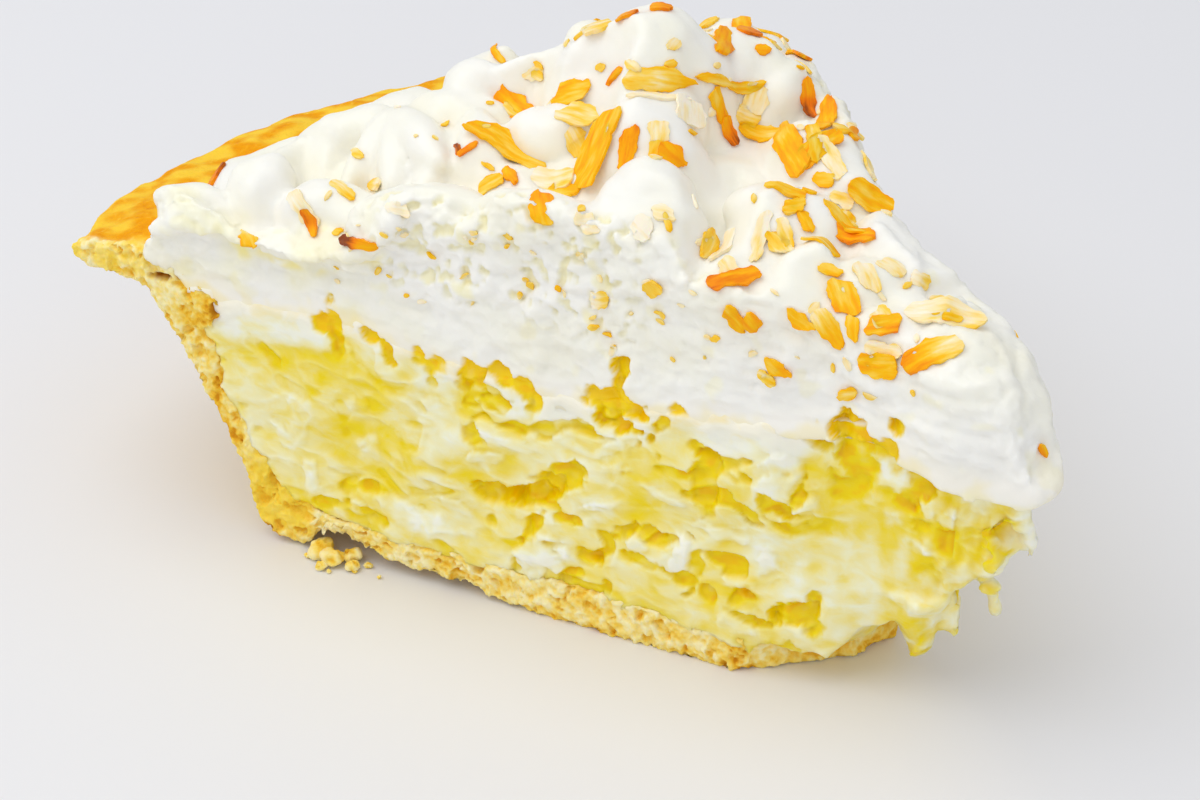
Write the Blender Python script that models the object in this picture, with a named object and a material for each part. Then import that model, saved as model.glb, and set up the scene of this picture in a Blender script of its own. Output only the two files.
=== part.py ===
"""One slice of coconut cream pie, a seventh of a 24 cm pie.

Three solids: the baked crust, the coconut custard that fills it, and the whipped cream with
its toasted coconut. The middle of the whole pie is at x = PIE_MIDDLE_X, y = 0. The slice runs
from there towards -X: its rim is at -X, its point at +X, and it stands on z = 0. Lengths are
in millimetres. A finished mesh is moved by CENTRING, so that the origin lies under the middle
of the slice's box, and scaled to metres.

A place on the slice is given by its radius from the pie's middle and its turn, the angle from
the slice's centre line, positive towards the cut face at -Y.
"""
import math

import bmesh
import bpy
import numpy as np
from mathutils import Matrix, Vector, noise
from mathutils.bvhtree import BVHTree

# ---- driving sizes, mm and degrees
MM_TO_M = 0.001
CENTRING = (1.6, -0.7, 0.0)
PIE_MIDDLE_X = 57.0
RIM_RADIUS = 122.0
RIM_HEIGHT = 39.0
BASE_RADIUS = 90.0
SLICE_ANGLE = 51.0
CRUST_THICKNESS = 5.6
CUSTARD_TOP = 34.0
GAP = 0.3

HALF_ANGLE = math.radians(SLICE_ANGLE / 2)
SPREAD = math.sin(HALF_ANGLE)
FLOOR_TOP = CRUST_THICKNESS
CREAM_EDGE_RADIUS = RIM_RADIUS - 11.0

for leftover in list(bpy.data.objects):
    bpy.data.objects.remove(leftover, do_unlink=True)
pie = bpy.data.collections.new("coconut_cream_pie_slice")
bpy.context.scene.collection.children.link(pie)


# ---- helpers
def smoothstep(low, high, value):
    """0 before low and 1 past high, with a soft change between."""
    t = np.clip((value - low) / (high - low), 0.0, 1.0)
    return t * t * (3.0 - 2.0 * t)


def smooth_line(points, spacing):
    """Evenly spaced points on the Catmull-Rom curve through the given points."""
    points = [Vector(p) for p in points]
    padded = [2 * points[0] - points[1]] + points + [2 * points[-1] - points[-2]]
    dense = []
    for a, b, c, d in zip(padded, padded[1:], padded[2:], padded[3:]):
        for t in np.linspace(0.0, 1.0, 24, endpoint=False):
            bend = (2 * a - 5 * b + 4 * c - d) * t**2 + (3 * b - a - 3 * c + d) * t**3
            dense.append(0.5 * (2 * b + (c - a) * t + bend))
    dense = np.array([tuple(p) for p in dense + [points[-1]]])
    walked = np.concatenate([[0.0], np.cumsum(np.linalg.norm(np.diff(dense, axis=0), axis=1))])
    stops = np.linspace(0.0, walked[-1], max(2, round(walked[-1] / spacing)) + 1)
    return np.column_stack([np.interp(stops, walked, dense[:, k]) for k in range(2)])


def lumps(x, y, z, size, seed):
    """Soft noise of about -1 to 1 at each point, with lumps about size mm across."""
    shift = Vector((17.3, 5.1, 9.7)) * seed
    points = np.column_stack([np.ravel(a) for a in np.broadcast_arrays(x, y, z)]) / size
    values = np.array([noise.noise(Vector(p) + shift) for p in points])
    return values.reshape(np.broadcast(x, y, z).shape)


def material(name, colour, roughness):
    made = bpy.data.materials.new(name)
    made.use_nodes = True
    shader = made.node_tree.nodes["Principled BSDF"]
    shader.inputs["Base Color"].default_value = (*colour, 1.0)
    shader.inputs["Roughness"].default_value = roughness
    shader.inputs["Metallic"].default_value = 0.0
    return made


def corners(bm):
    """The x, y and z of all the mesh's corners, as three arrays."""
    return np.array([tuple(v.co) for v in bm.verts]).T


def move_corners(bm, x, y, z):
    for vert, place in zip(bm.verts, zip(x, y, z)):
        vert.co = place


def block(cells, place):
    """A closed block of cells along, across and up; place(u, v, w) puts its corners.

    u, v and w run from 0 to 1 along, across and up the block.
    """
    along, across, up = cells
    bm = bmesh.new()
    bmesh.ops.create_grid(bm, x_segments=along, y_segments=across, size=0.5)
    top = bm.faces[:]
    for layer in range(up):
        raised = bmesh.ops.extrude_face_region(bm, geom=top)["geom"]
        if layer > 0:
            bmesh.ops.delete(bm, geom=top, context="FACES_ONLY")
        top = [g for g in raised if isinstance(g, bmesh.types.BMFace)]
        lifted = [g for g in raised if isinstance(g, bmesh.types.BMVert)]
        bmesh.ops.translate(bm, verts=lifted, vec=(0.0, 0.0, 1.0 / up))
    u, v, w = corners(bm)
    move_corners(bm, *place(u + 0.5, v + 0.5, w))
    bmesh.ops.recalc_face_normals(bm, faces=bm.faces)
    return bm


def finish(bm, name, look):
    """Turn a mesh worked in mm into a named object in metres."""
    bmesh.ops.recalc_face_normals(bm, faces=bm.faces)
    if bm.calc_volume(signed=True) < 0.0:
        bmesh.ops.reverse_faces(bm, faces=bm.faces)
    bm.transform(Matrix.Scale(MM_TO_M, 4) @ Matrix.Translation(CENTRING))
    mesh = bpy.data.meshes.new(name)
    bm.to_mesh(mesh)
    bm.free()
    mesh.materials.append(look)
    mesh.shade_smooth()
    made = bpy.data.objects.new(name, mesh)
    pie.objects.link(made)
    return made


def fuse(body, pieces):
    """Join the pieces to the body as one solid, and drop their own objects."""
    loose = bpy.data.collections.new(body.name + "_pieces")
    for piece in pieces:
        pie.objects.unlink(piece)
        loose.objects.link(piece)
    bpy.context.scene.collection.children.link(loose)
    union = body.modifiers.new("union", "BOOLEAN")
    union.operation = "UNION"
    union.operand_type = "COLLECTION"
    union.collection = loose
    union.solver = "MANIFOLD"
    depsgraph = bpy.context.evaluated_depsgraph_get()
    joined = bpy.data.meshes.new_from_object(body.evaluated_get(depsgraph))
    body.modifiers.clear()
    body.data = joined
    for piece in list(loose.objects):
        bpy.data.objects.remove(piece, do_unlink=True)
    bpy.data.collections.remove(loose)
    return body


def drip(name, root, tip, width, look):
    """A drop that hangs from its root and narrows to its tip; both are x, y, z from the middle."""
    root, tip = Vector(root), Vector(tip)
    bm = bmesh.new()
    bmesh.ops.create_cone(bm, cap_ends=True, segments=8, radius1=width / 2, radius2=width / 9,
                          depth=(root - tip).length)
    along = (tip - root).to_track_quat("Z", "Y").to_matrix().to_4x4()
    middle = Vector((PIE_MIDDLE_X, 0.0, 0.0)) + (root + tip) / 2
    bm.transform(Matrix.Translation(middle) @ along)
    return finish(bm, name, look)


# ---- the crust's section: one line for its inside and rim, one for its outside and underside
INSIDE_KEYS = [(22.0, FLOOR_TOP), (84.0, FLOOR_TOP), (90.3, 7.8), (93.6, 12.0), (97.8, 20.0),
               (103.0, 33.5), (105.5, 37.4), (109.5, RIM_HEIGHT), (116.0, RIM_HEIGHT - 0.4)]
OUTSIDE_KEYS = [(RIM_RADIUS - 1.8, RIM_HEIGHT - 1.3), (RIM_RADIUS, 36.3), (RIM_RADIUS - 1.6, 34.9),
                (114.0, 34.0), (108.0, 29.5), (104.6, 22.7), (97.4, 10.0), (95.4, 3.2),
                (BASE_RADIUS, 0.0)]
INSIDE = smooth_line(INSIDE_KEYS, 3.2)
WALL = INSIDE[(INSIDE[:, 0] > 80.0) & (INSIDE[:, 0] < 104.5)]


def wall_radius(z):
    """Radius of the inside of the crust's wall at height z."""
    return np.interp(z, WALL[:, 1], WALL[:, 0])


def inside_height(r):
    """Height of the crust's upper surface at radius r: the floor, the wall, then the rim."""
    return np.interp(r, INSIDE[:, 0], INSIDE[:, 1])


def point_radius(turn):
    """How far from the pie's middle the crust's crumbled point ends, less at the far face."""
    across = np.clip((turn + HALF_ANGLE) / (2 * HALF_ANGLE), 0.0, 1.0)
    return 19.0 + 8.5 * across**3


def make_crust():
    steps = 24
    underside = [(r, 0.0) for r in np.arange(BASE_RADIUS - 4.0, INSIDE_KEYS[0][0] - 1.0, -4.0)]
    outside = smooth_line([tuple(INSIDE[-1])] + OUTSIDE_KEYS, 3.2)[1:]
    section = [tuple(p) for p in INSIDE] + [tuple(p) for p in outside] + underside
    bm = bmesh.new()
    outline = [bm.verts.new((-r * math.cos(HALF_ANGLE), -r * SPREAD, max(z, 0.0))) for r, z in section]
    face = bm.faces.new(outline)
    bmesh.ops.spin(bm, geom=[face] + outline + list(face.edges), axis=(0, 0, -1), cent=(0, 0, 0),
                   angle=2 * HALF_ANGLE, steps=steps, use_duplicate=False)
    x, y, z = corners(bm)
    r = np.hypot(x, y)
    turn = np.arctan2(-y, -x)
    rim = smoothstep(112.5, 115.0, r)
    outer_wall = (r > wall_radius(z) + 2.5) & (z > 0.5)
    flare = 3.0 * smoothstep(20.0, 36.0, z) * smoothstep(HALF_ANGLE, 0.6 * HALF_ANGLE, turn)
    swell = flare + 1.4 * lumps(x, y, z, 24.0, 1) + 0.9 * lumps(x, y, z, 8.0, 2)
    r = r + np.where(outer_wall, swell, 0.0)
    z = z + rim * (1.0 * lumps(x, y, 0.0, 16.0, 3) + 0.6 * lumps(x, y, 0.0, 6.0, 4))
    crumble = smoothstep(46.0, 22.0, r)
    r = r + crumble * (point_radius(turn) - INSIDE_KEYS[0][0] + 1.4 * lumps(x, y, z, 5.0, 5))
    cut = np.abs(turn) > HALF_ANGLE - 0.002
    turn = turn + np.where(cut, np.sign(turn) * 0.7 * lumps(x, y, z, 6.0, 6) / np.maximum(r, 1.0), 0.0)
    move_corners(bm, PIE_MIDDLE_X - r * np.cos(turn), -r * np.sin(turn), z)
    return finish(bm, "crust", material("baked pastry", (0.80, 0.55, 0.22), 0.75))


# ---- the outline that the soft layers share: the wedge, and a rounded nose past its point
def wedge(r, across, nose, lean):
    """x and y at radius r; across is -1 at the far cut face and 1 at the near one.

    nose is the half width that the soft point keeps where the wedge would end, and lean is
    how far it has slumped towards +Y.
    """
    ahead = np.maximum(r, 0.0)
    half_width = np.hypot(ahead * SPREAD, nose)
    x = PIE_MIDDLE_X - np.minimum(r, 0.0) - ahead * np.cos(across * HALF_ANGLE)
    y = -half_width * np.sin(across * HALF_ANGLE) / SPREAD + lean
    return x, y


def custard_level(x, y, r):
    """Height of the wavy line between custard and cream."""
    level = np.interp(r, [-6.0, 15.0, 35.0, 52.0, 68.0, 84.0, 104.0],
                      np.array([0.4, 2.4, -0.2, -2.3, -1.2, 1.3, 0.4]) + CUSTARD_TOP)
    return level + 0.7 * lumps(x, y, 0.0, 14.0, 11)


def make_custard():
    def place(u, v, w):
        across = 2.0 * v - 1.0
        rough_z = FLOOR_TOP + GAP + w * (CUSTARD_TOP - FLOOR_TOP)
        tip = np.interp(rough_z, [6.0, 11.0, 18.0, CUSTARD_TOP], [9.0, 4.0, 0.5, -2.0])
        # the wall leans out, so a corner's reach depends on its height and is found twice
        z = rough_z
        for _ in range(2):
            r = tip + u * (wall_radius(z - GAP) - GAP - tip)
            soft = smoothstep(32.0, 8.0, r)
            nose = 4.6 * soft * np.sqrt(np.clip((r - tip + 1.5) / 8.0, 0.0, 1.0))
            x, y = wedge(r, across, nose, 4.0 * soft)
            bottom = FLOOR_TOP + GAP + 5.0 * smoothstep(18.0, 7.0, r)
            z = bottom + w * (custard_level(x, y, r) - bottom)
        side = np.abs(across) ** 8 * np.sin(np.pi * np.clip(w, 0.0, 1.0)) ** 0.5
        y = y - np.sign(across) * side * (0.9 * lumps(x, y, z, 9.0, 12) - 0.5)
        x = x + np.where(u < 0.01, 1.6 * lumps(x, y, z, 6.0, 13), 0.0)
        return x, y, z
    look = material("coconut custard", (0.90, 0.82, 0.40), 0.35)
    body = finish(block((24, 13, 7), place), "custard", look)
    drips = [drip("drip_front", (-9.0, 3.0, 15.0), (-9.6, 4.5, 4.0), 6.5, look),
             drip("drip_far", (-4.5, 6.0, 16.0), (-2.6, 10.0, 10.5), 3.4, look)]
    return fuse(body, drips)


# ---- the whipped cream: spooned domes that meet in creases, with scoops and valleys cut in
# each dome or scoop: x and y from the pie's middle, height, half width along and across its
# heading at 3 mm below (or above) that height, and the heading in degrees from +X
DOMES = [
    (-98.0, -42.5, 44.5, 4.0, 3.5, 0), (-92.5, -35.0, 47.5, 6.0, 5.0, 0),
    (-91.5, -23.0, 51.0, 8.0, 5.5, 80), (-97.0, -9.0, 50.0, 8.0, 6.0, 70),
    (-83.0, -19.0, 53.5, 8.5, 2.6, -35), (-95.0, 2.0, 52.5, 9.0, 6.5, 80),
    (-82.0, -3.0, 60.5, 5.5, 4.0, 60), (-71.5, -14.5, 57.5, 7.0, 3.6, -30),
    (-62.0, 3.0, 71.0, 7.0, 6.5, 20), (-71.0, 4.0, 65.5, 6.0, 6.0, 0),
    (-59.0, 14.0, 65.0, 8.0, 6.0, 60), (-52.5, -3.5, 63.5, 6.0, 4.5, 0),
    (-40.5, -12.5, 60.0, 6.5, 6.0, -40), (-33.0, 1.0, 57.5, 6.5, 6.0, 0),
    (-37.5, 13.0, 59.0, 8.0, 6.0, 30), (-46.0, 21.0, 58.5, 8.0, 5.0, -25),
    (-22.0, 8.0, 56.0, 7.0, 5.0, -20), (-24.0, -3.5, 55.0, 5.0, 5.0, 0),
    (-14.0, -5.0, 54.0, 5.5, 5.0, 0), (-7.0, 3.0, 52.5, 7.0, 5.5, 0),
    (-1.0, 4.5, 49.5, 6.0, 5.5, 0), (-20.0, -12.0, 50.5, 6.0, 4.5, 25),
    (-30.0, -15.5, 53.0, 7.0, 4.5, 25), (-50.0, -21.0, 57.5, 9.0, 4.5, 25),
    (-64.0, -26.5, 55.0, 8.0, 4.0, 25), (-75.0, -30.0, 47.5, 8.0, 5.0, 25),
    (-78.0, 12.0, 61.0, 7.0, 6.0, 30), (-89.0, 14.0, 55.5, 7.0, 6.0, 90),
    (-100.0, 14.0, 50.0, 7.0, 6.0, 60), (-102.0, 29.0, 48.0, 7.5, 6.0, 80),
    (-91.0, 28.0, 54.0, 7.0, 6.0, 20), (-79.0, 27.0, 58.0, 7.5, 6.0, -20),
    (-68.0, 24.0, 61.0, 8.0, 5.5, -25), (-56.0, 23.0, 60.0, 7.0, 5.0, -25),
    (-94.0, 40.0, 50.0, 6.5, 5.0, -30), (-81.0, 36.0, 54.0, 8.0, 4.5, -25),
    (-60.0, 0.0, 56.0, 38.0, 17.0, 0), (-90.0, 0.0, 46.0, 40.0, 60.0, 0),
]
SCOOPS = [(-62.0, -12.0, 53.5, 5.6, 5.2, 0), (-43.0, 1.0, 54.5, 9.0, 2.8, -50),
          (-88.0, -30.0, 43.5, 7.0, 3.5, -35)]


def bowl(x, y, centre_x, centre_y, along, across, heading):
    """A round bowl's rise above its bottom; it is 3 mm at the given half widths."""
    turned = math.radians(heading)
    dx = x - PIE_MIDDLE_X - centre_x
    dy = y - centre_y
    forward = (dx * math.cos(turned) + dy * math.sin(turned)) / along
    sideways = (dy * math.cos(turned) - dx * math.sin(turned)) / across
    return 3.0 * (forward**2 + sideways**2)


def cream_top(x, y, r):
    """Height of the cream's top, before it rounds off to its edges."""
    top = np.full(np.shape(x), 40.0)
    for cx, cy, height, along, across, heading in DOMES:
        top = np.maximum(top, height - bowl(x, y, cx, cy, along, across, heading))
    for cx, cy, height, along, across, heading in SCOOPS:
        top = np.minimum(top, height + bowl(x, y, cx, cy, along, across, heading))
    return top


def rounded(distance, radius):
    """How far a surface may rise at a distance from an edge: a quarter round, then a slope."""
    inward = np.clip(distance / radius, 0.0, 1.0)
    return radius * np.sqrt(1.0 - (1.0 - inward) ** 2) + 1.5 * np.maximum(distance - radius, 0.0)


# top edge of the cream on each cut face: radius and height
NEAR_EDGE = [(-7, 40), (0, 44.5), (8, 46), (14, 44), (21, 47), (29, 50), (36, 53), (46, 53), (56, 55.5),
             (66, 53), (75, 45), (86, 41.0), (96, 41.5), (105, 43.5)]
FAR_EDGE = [(-7, 39), (0, 43), (15, 48), (33, 52), (51, 56), (70, 54.5), (88, 50), (100, 45), (108, 42)]


# toasted coconut that catches the eye: x, y from the pie's middle, z, heading and rise of its
# length in degrees, length, width, and how far its middle bows sideways
FLAKES = [
    (-66.5, -14.5, 55.0, 15, -35, 10.0, 2.2, 1.5), (-56.0, -9.5, 57.5, -75, -50, 9.8, 2.8, -1.0),
    (-63.5, -18.0, 53.0, 70, 10, 4.7, 1.5, 0.0), (-62.0, -16.0, 53.5, -10, -5, 5.5, 1.3, 0.0),
    (-51.0, -8.5, 59.5, -55, -60, 4.8, 1.5, 0.0), (-49.5, -22.0, 56.5, 0, -35, 4.0, 2.2, 0.0),
    (-56.5, -14.0, 54.0, 25, 5, 4.0, 1.5, 0.0), (-75.5, -7.0, 55.5, -20, 10, 4.0, 2.5, 0.0),
    (-66.0, -5.0, 60.5, 15, -15, 4.4, 2.4, 0.0), (-63.5, -6.0, 58.5, 10, 0, 4.6, 2.8, 0.0),
    (-54.5, -2.0, 65.5, 50, -10, 9.5, 2.4, 0.5), (-52.5, 5.5, 64.0, 95, -25, 6.0, 1.1, 0.0),
    (-49.5, -7.0, 60.5, 100, 50, 4.5, 1.3, 0.0), (-46.0, -5.5, 59.5, 30, -40, 3.6, 1.7, 0.0),
    (-50.0, 5.0, 60.0, 30, -35, 7.0, 1.3, 0.8), (-51.0, 10.0, 60.0, 100, 15, 5.5, 2.2, 0.0),
    (-47.5, 12.0, 55.5, 0, -25, 9.0, 2.3, 0.6), (-40.0, 9.5, 58.0, -15, -5, 6.0, 1.6, 0.0),
    (-45.5, 17.5, 59.0, -25, -60, 8.5, 1.6, 0.0), (-49.0, 19.0, 59.0, -20, -60, 5.0, 1.3, 0.0),
    (-30.0, 11.0, 55.0, 25, -30, 6.2, 2.1, 0.4), (-34.0, 1.0, 57.5, -5, 5, 6.0, 1.2, 0.5),
    (-28.0, 4.5, 54.5, -5, -35, 7.0, 1.5, 0.8), (-26.5, 0.0, 54.5, 45, -20, 4.2, 1.6, 0.0),
    (-30.0, -2.5, 55.5, 85, 35, 4.1, 1.3, 0.0), (-32.5, -9.5, 55.0, 110, -5, 5.0, 2.0, 0.6),
    (-22.0, -2.5, 54.0, 55, 10, 4.0, 1.3, 0.0), (-18.0, 3.0, 53.0, 5, -10, 4.2, 2.4, 0.0),
    (-19.0, -3.0, 51.5, 20, -25, 3.8, 2.4, 0.0), (-20.5, -8.0, 49.5, 25, -35, 3.8, 1.4, 0.5),
    (-18.0, -6.5, 49.0, 20, -45, 5.0, 1.8, 0.0), (-15.0, -1.0, 49.5, 95, 5, 4.2, 1.7, 0.0),
    (-11.5, -4.0, 46.0, 20, 10, 4.5, 2.0, 0.0), (-10.0, 2.5, 51.5, 10, 15, 9.0, 2.9, 0.0),
    (-6.5, -1.5, 49.5, 30, 20, 7.3, 2.6, 0.0), (-28.0, -12.0, 52.0, 45, 10, 6.0, 1.5, 0.0),
    (-25.5, -12.0, 48.5, 30, -30, 3.8, 1.4, 0.0), (-82.5, -32.0, 45.0, -20, 10, 6.0, 2.4, 0.0),
    (-72.5, -33.0, 45.0, 15, 10, 6.0, 1.3, 0.3), (-100.0, -35.5, 44.5, -20, 0, 4.5, 1.5, 0.0),
    (-60.5, 27.0, 60.0, 50, 60, 4.2, 2.4, 0.0), (-69.0, 0.5, 67.0, 20, 10, 4.0, 2.6, 0.0),
    (-62.5, 2.0, 70.5, 50, 15, 3.4, 1.6, 0.0), (-60.5, 5.5, 70.5, 130, -20, 4.0, 1.3, 0.0),
    (-60.0, 12.0, 67.0, -15, 10, 3.4, 1.5, 0.0),
]
FLAKE_THICKNESS = 1.0
FAR_SIDE_FLAKES = 18
FAR_SIDE_SEED = 7


def far_side_flakes():
    """More flakes strewn over the far half of the top."""
    draw = np.random.default_rng(FAR_SIDE_SEED)
    for _ in range(FAR_SIDE_FLAKES):
        r = draw.uniform(30.0, 104.0)
        turn = -HALF_ANGLE * draw.uniform(0.15, 0.9)
        yield (-r * math.cos(turn), -r * math.sin(turn), 60.0, draw.uniform(0, 360), 0.0,
               draw.uniform(3.5, 7.5), draw.uniform(1.4, 2.4), draw.uniform(-0.6, 0.6))


def make_flake(number, place, surface, look):
    """A bent strip of coconut, half sunk in the cream where its place meets the surface."""
    x, y, z, heading, rise, length, width, bow = place
    spot, out, _, _ = surface.find_nearest(Vector((x + PIE_MIDDLE_X, y, z)))
    turned, lifted = math.radians(heading), math.radians(rise)
    long_way = Vector((math.cos(turned) * math.cos(lifted), math.sin(turned) * math.cos(lifted),
                       math.sin(lifted)))
    if rise == 0.0:
        long_way = (long_way - out * long_way.dot(out)).normalized()
    side_way = out.cross(long_way).normalized()
    face_way = long_way.cross(side_way)
    bm = bmesh.new()
    bmesh.ops.create_cube(bm, size=1.0)
    long_edges = [e for e in bm.edges if abs(e.verts[0].co.x - e.verts[1].co.x) > 0.5]
    bmesh.ops.subdivide_edges(bm, edges=long_edges, cuts=2)
    for vert in bm.verts:
        along = 2.0 * vert.co.x
        vert.co = (vert.co.x * length, vert.co.y * width * (1.0 - 0.35 * along**2)
                   + bow * (1.0 - along**2), vert.co.z * FLAKE_THICKNESS)
    frame = Matrix((long_way, side_way, face_way)).transposed().to_4x4()
    bm.transform(Matrix.Translation(spot + out * 0.25) @ frame)
    return finish(bm, f"flake_{number}", look)


def make_cream():
    tip = -5.6

    def place(u, v, w):
        across = 2.0 * v - 1.0
        edge = CREAM_EDGE_RADIUS + 1.6 * np.sin(across * 9.0) - 4.0 * smoothstep(0.75, 1.0, across)
        r = tip + u * (edge - tip)
        soft = smoothstep(34.0, 6.0, r)
        nose = 6.0 * soft * np.sqrt(np.clip((r - tip + 1.5) / 10.0, 0.0, 1.0))
        x, y = wedge(r, across, nose, 3.6 * soft)
        below = np.maximum(custard_level(x, y, r),
                           np.maximum(inside_height(r - 1.3), inside_height(r + 1.3)))
        bottom = np.where(r > 92.0, below, custard_level(x, y, r)) + GAP
        half_width = np.hypot(np.maximum(r, 0.0) * SPREAD, nose)
        near = np.interp(r, *zip(*NEAR_EDGE)) + rounded((1.0 - across) * half_width, 5.0)
        far = np.interp(r, *zip(*FAR_EDGE)) + rounded((1.0 + across) * half_width, 5.0)
        end = 38.5 + rounded(r - tip, 13.0)
        rim = RIM_HEIGHT + 1.5 + 0.62 * rounded(edge - r, 14.0)
        limit = np.minimum(np.minimum(near, far), np.minimum(end, rim))
        top = np.minimum(cream_top(x, y, r), limit)
        z = bottom + w * (np.maximum(top, bottom + 1.0) - bottom)
        side = np.abs(across) ** 10 * np.sin(np.pi * w) ** 0.5
        y = y - np.sign(across) * side * (0.8 * lumps(x, y, z, 10.0, 21) + 0.3)
        x = x + np.where(u < 0.01, 1.8 * np.sin(np.pi * w) ** 0.5, 0.0)
        out = np.where(u > 0.99, 1.6 * np.sin(np.pi * w) ** 0.5, 0.0)
        x = x - out * np.cos(across * HALF_ANGLE)
        y = y - out * np.sin(across * HALF_ANGLE)
        return x, y, z

    look = material("whipped cream", (0.95, 0.94, 0.90), 0.5)
    toasted = material("toasted coconut", (0.86, 0.45, 0.08), 0.5)
    bm = block((40, 22, 5), place)
    surface = BVHTree.FromBMesh(bm)
    body = finish(bm, "cream", look)
    places = FLAKES + list(far_side_flakes())
    pieces = [make_flake(k, p, surface, toasted) for k, p in enumerate(places)]
    pieces.append(drip("drip_nose", (6.0, 1.5, 37.0), (3.8, 4.0, 24.5), 4.0, look))
    return fuse(body, pieces)


crust = make_crust()
custard = make_custard()
cream = make_cream()
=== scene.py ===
# %% [markdown]
# # A slice of coconut cream pie
#
# The slice is a seventh of a 24 cm pie: a baked shortcrust shell, a thick coconut custard, and
# a deep layer of whipped cream strewn with toasted coconut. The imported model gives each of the
# three its true size and place. This lesson rebuilds them as fine meshes and gives them their
# finish.
#
# Soft food has no straight lines, so each layer is worked in three steps. A closed block is
# bent to the layer's form by a function, and a voxel remesh lays one even skin over it, which
# also welds on drips and dollops. Then hollows are pressed into that skin. Last, fine relief
# moves it along its normals. Modelling by hand in Sculpt Mode follows the same order.

# %% The modules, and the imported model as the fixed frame
import math

import bmesh
import bpy
import numpy as np
from mathutils import Matrix, Vector, noise
from mathutils.bvhtree import BVHTree


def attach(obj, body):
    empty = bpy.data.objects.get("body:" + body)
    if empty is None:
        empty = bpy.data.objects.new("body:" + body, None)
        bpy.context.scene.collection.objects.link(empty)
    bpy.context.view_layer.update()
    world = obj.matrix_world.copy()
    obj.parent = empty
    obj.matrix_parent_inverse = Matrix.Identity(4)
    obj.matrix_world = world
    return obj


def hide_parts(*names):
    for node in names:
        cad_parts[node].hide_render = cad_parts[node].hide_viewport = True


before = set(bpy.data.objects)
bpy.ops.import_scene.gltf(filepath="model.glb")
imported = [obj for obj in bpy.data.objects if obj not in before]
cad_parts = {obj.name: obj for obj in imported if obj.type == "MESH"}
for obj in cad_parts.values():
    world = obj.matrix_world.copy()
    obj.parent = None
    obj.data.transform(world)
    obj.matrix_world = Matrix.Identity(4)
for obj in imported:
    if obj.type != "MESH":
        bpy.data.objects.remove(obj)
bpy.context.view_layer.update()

# %% [markdown]
# The slice is easiest to describe from the middle of the whole pie, in millimetres. A place is
# a radius and a turn, the angle from the slice's centre line, positive towards the cut face
# that the camera sees. On a cut face a place is a distance along it from the pie's middle, how
# far it lies out of the face, and a height. The finished meshes are moved to the frame's origin
# and scaled to metres.

# %% The pie's sizes in millimetres
MM = 0.001
CENTRING = (1.6, -0.7, 0.0)
PIE_MIDDLE = Vector((57.0, 0.0, 0.0))
HALF_ANGLE = math.radians(25.5)
SPREAD = math.sin(HALF_ANGLE)
FLOOR_TOP = 5.6
CUSTARD_TOP = 34.0
RIM_HEIGHT = 39.0
CREAM_EDGE_RADIUS = 111.0
# along the near cut face, away from the pie's middle, and straight out of that face
NEAR_ALONG = Vector((-math.cos(HALF_ANGLE), -SPREAD, 0.0))
NEAR_OUT = Vector((SPREAD, -math.cos(HALF_ANGLE), 0.0))


# %% [markdown]
# Nothing in a pie is even, so noise drives most of its shapes. Perlin noise gives soft lumps of
# one size, and a few octaves of it, each half the size and strength of the last, give the
# broken look of pastry and torn custard. Every call has its lump size in mm, and a seed, which
# picks another part of the noise. Layers that must fit together use the same seed.
#
# `smoothstep` fades an effect in or out between two values, `bell` lets it rise and fall around
# zero, and `read_off` follows a short list of (place, value) pairs.

# %% Helpers for smooth changes and noise
NOISE_STEP = np.array((17.3, 5.1, 9.7))


def smoothstep(low, high, value):
    """0 at low and 1 at high, soft at both ends; low may be the larger of the two."""
    t = np.clip((value - low) / (high - low), 0.0, 1.0)
    return t * t * (3.0 - 2.0 * t)


def bell(value, width):
    return np.exp(-(value / width) ** 2)


def clamp(value):
    return np.clip(value, 0.0, 1.0)


def read_off(pairs, place):
    return np.interp(place, *zip(*pairs))


def lumps(x, y, z, size, seed, octaves=1):
    """Noise of about -1 to 1 at each point, with its largest lumps about size mm across."""
    x, y, z = np.broadcast_arrays(x, y, z)
    points = np.column_stack([np.ravel(x), np.ravel(y), np.ravel(z)]) / size
    points += NOISE_STEP * seed
    total = np.zeros(len(points))
    for octave in range(octaves):
        scaled = points * 2.0**octave
        total += np.array([noise.noise(p) for p in scaled.tolist()]) / 2.0**octave
    return total.reshape(x.shape)


# %% [markdown]
# The block starts as a cube. Its edges are subdivided along x, then y, then z, so it becomes a
# hollow box of small cells with no faces inside. Its corners run from 0 to 1 along (u), across
# (v) and up (w), and the layer's own function says where each goes.

# %% Helpers that shape a mesh
def corners(bm):
    return np.array([tuple(v.co) for v in bm.verts]).T


def normals(bm):
    return np.array([tuple(v.normal) for v in bm.verts]).T


def move_corners(bm, x, y, z):
    for vert, place in zip(bm.verts, np.column_stack([x, y, z]).tolist()):
        vert.co = place


def slice_across(bm, axis, cuts, fill=True):
    """Cut each edge that runs the whole length of a shape of size 1 along one axis."""
    whole = [e for e in bm.edges if abs(e.verts[0].co[axis] - e.verts[1].co[axis]) > 0.5]
    bmesh.ops.subdivide_edges(bm, edges=whole, cuts=cuts, use_grid_fill=fill)


def block(cells, place):
    bm = bmesh.new()
    bmesh.ops.create_cube(bm, size=1.0)
    for axis, count in enumerate(cells):
        slice_across(bm, axis, count - 1)
    u, v, w = corners(bm)
    move_corners(bm, *place(u + 0.5, v + 0.5, w + 0.5))
    bmesh.ops.recalc_face_normals(bm, faces=bm.faces)
    return bm


# %% [markdown]
# The voxel remesh is a modifier, so the rough shapes go on an object for a moment, and its
# evaluated mesh is read back. The skin's cells are 0.6 to 0.7 mm wide. That is too coarse for
# the near cut face, so `refine` splits the faces there into four.

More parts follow.
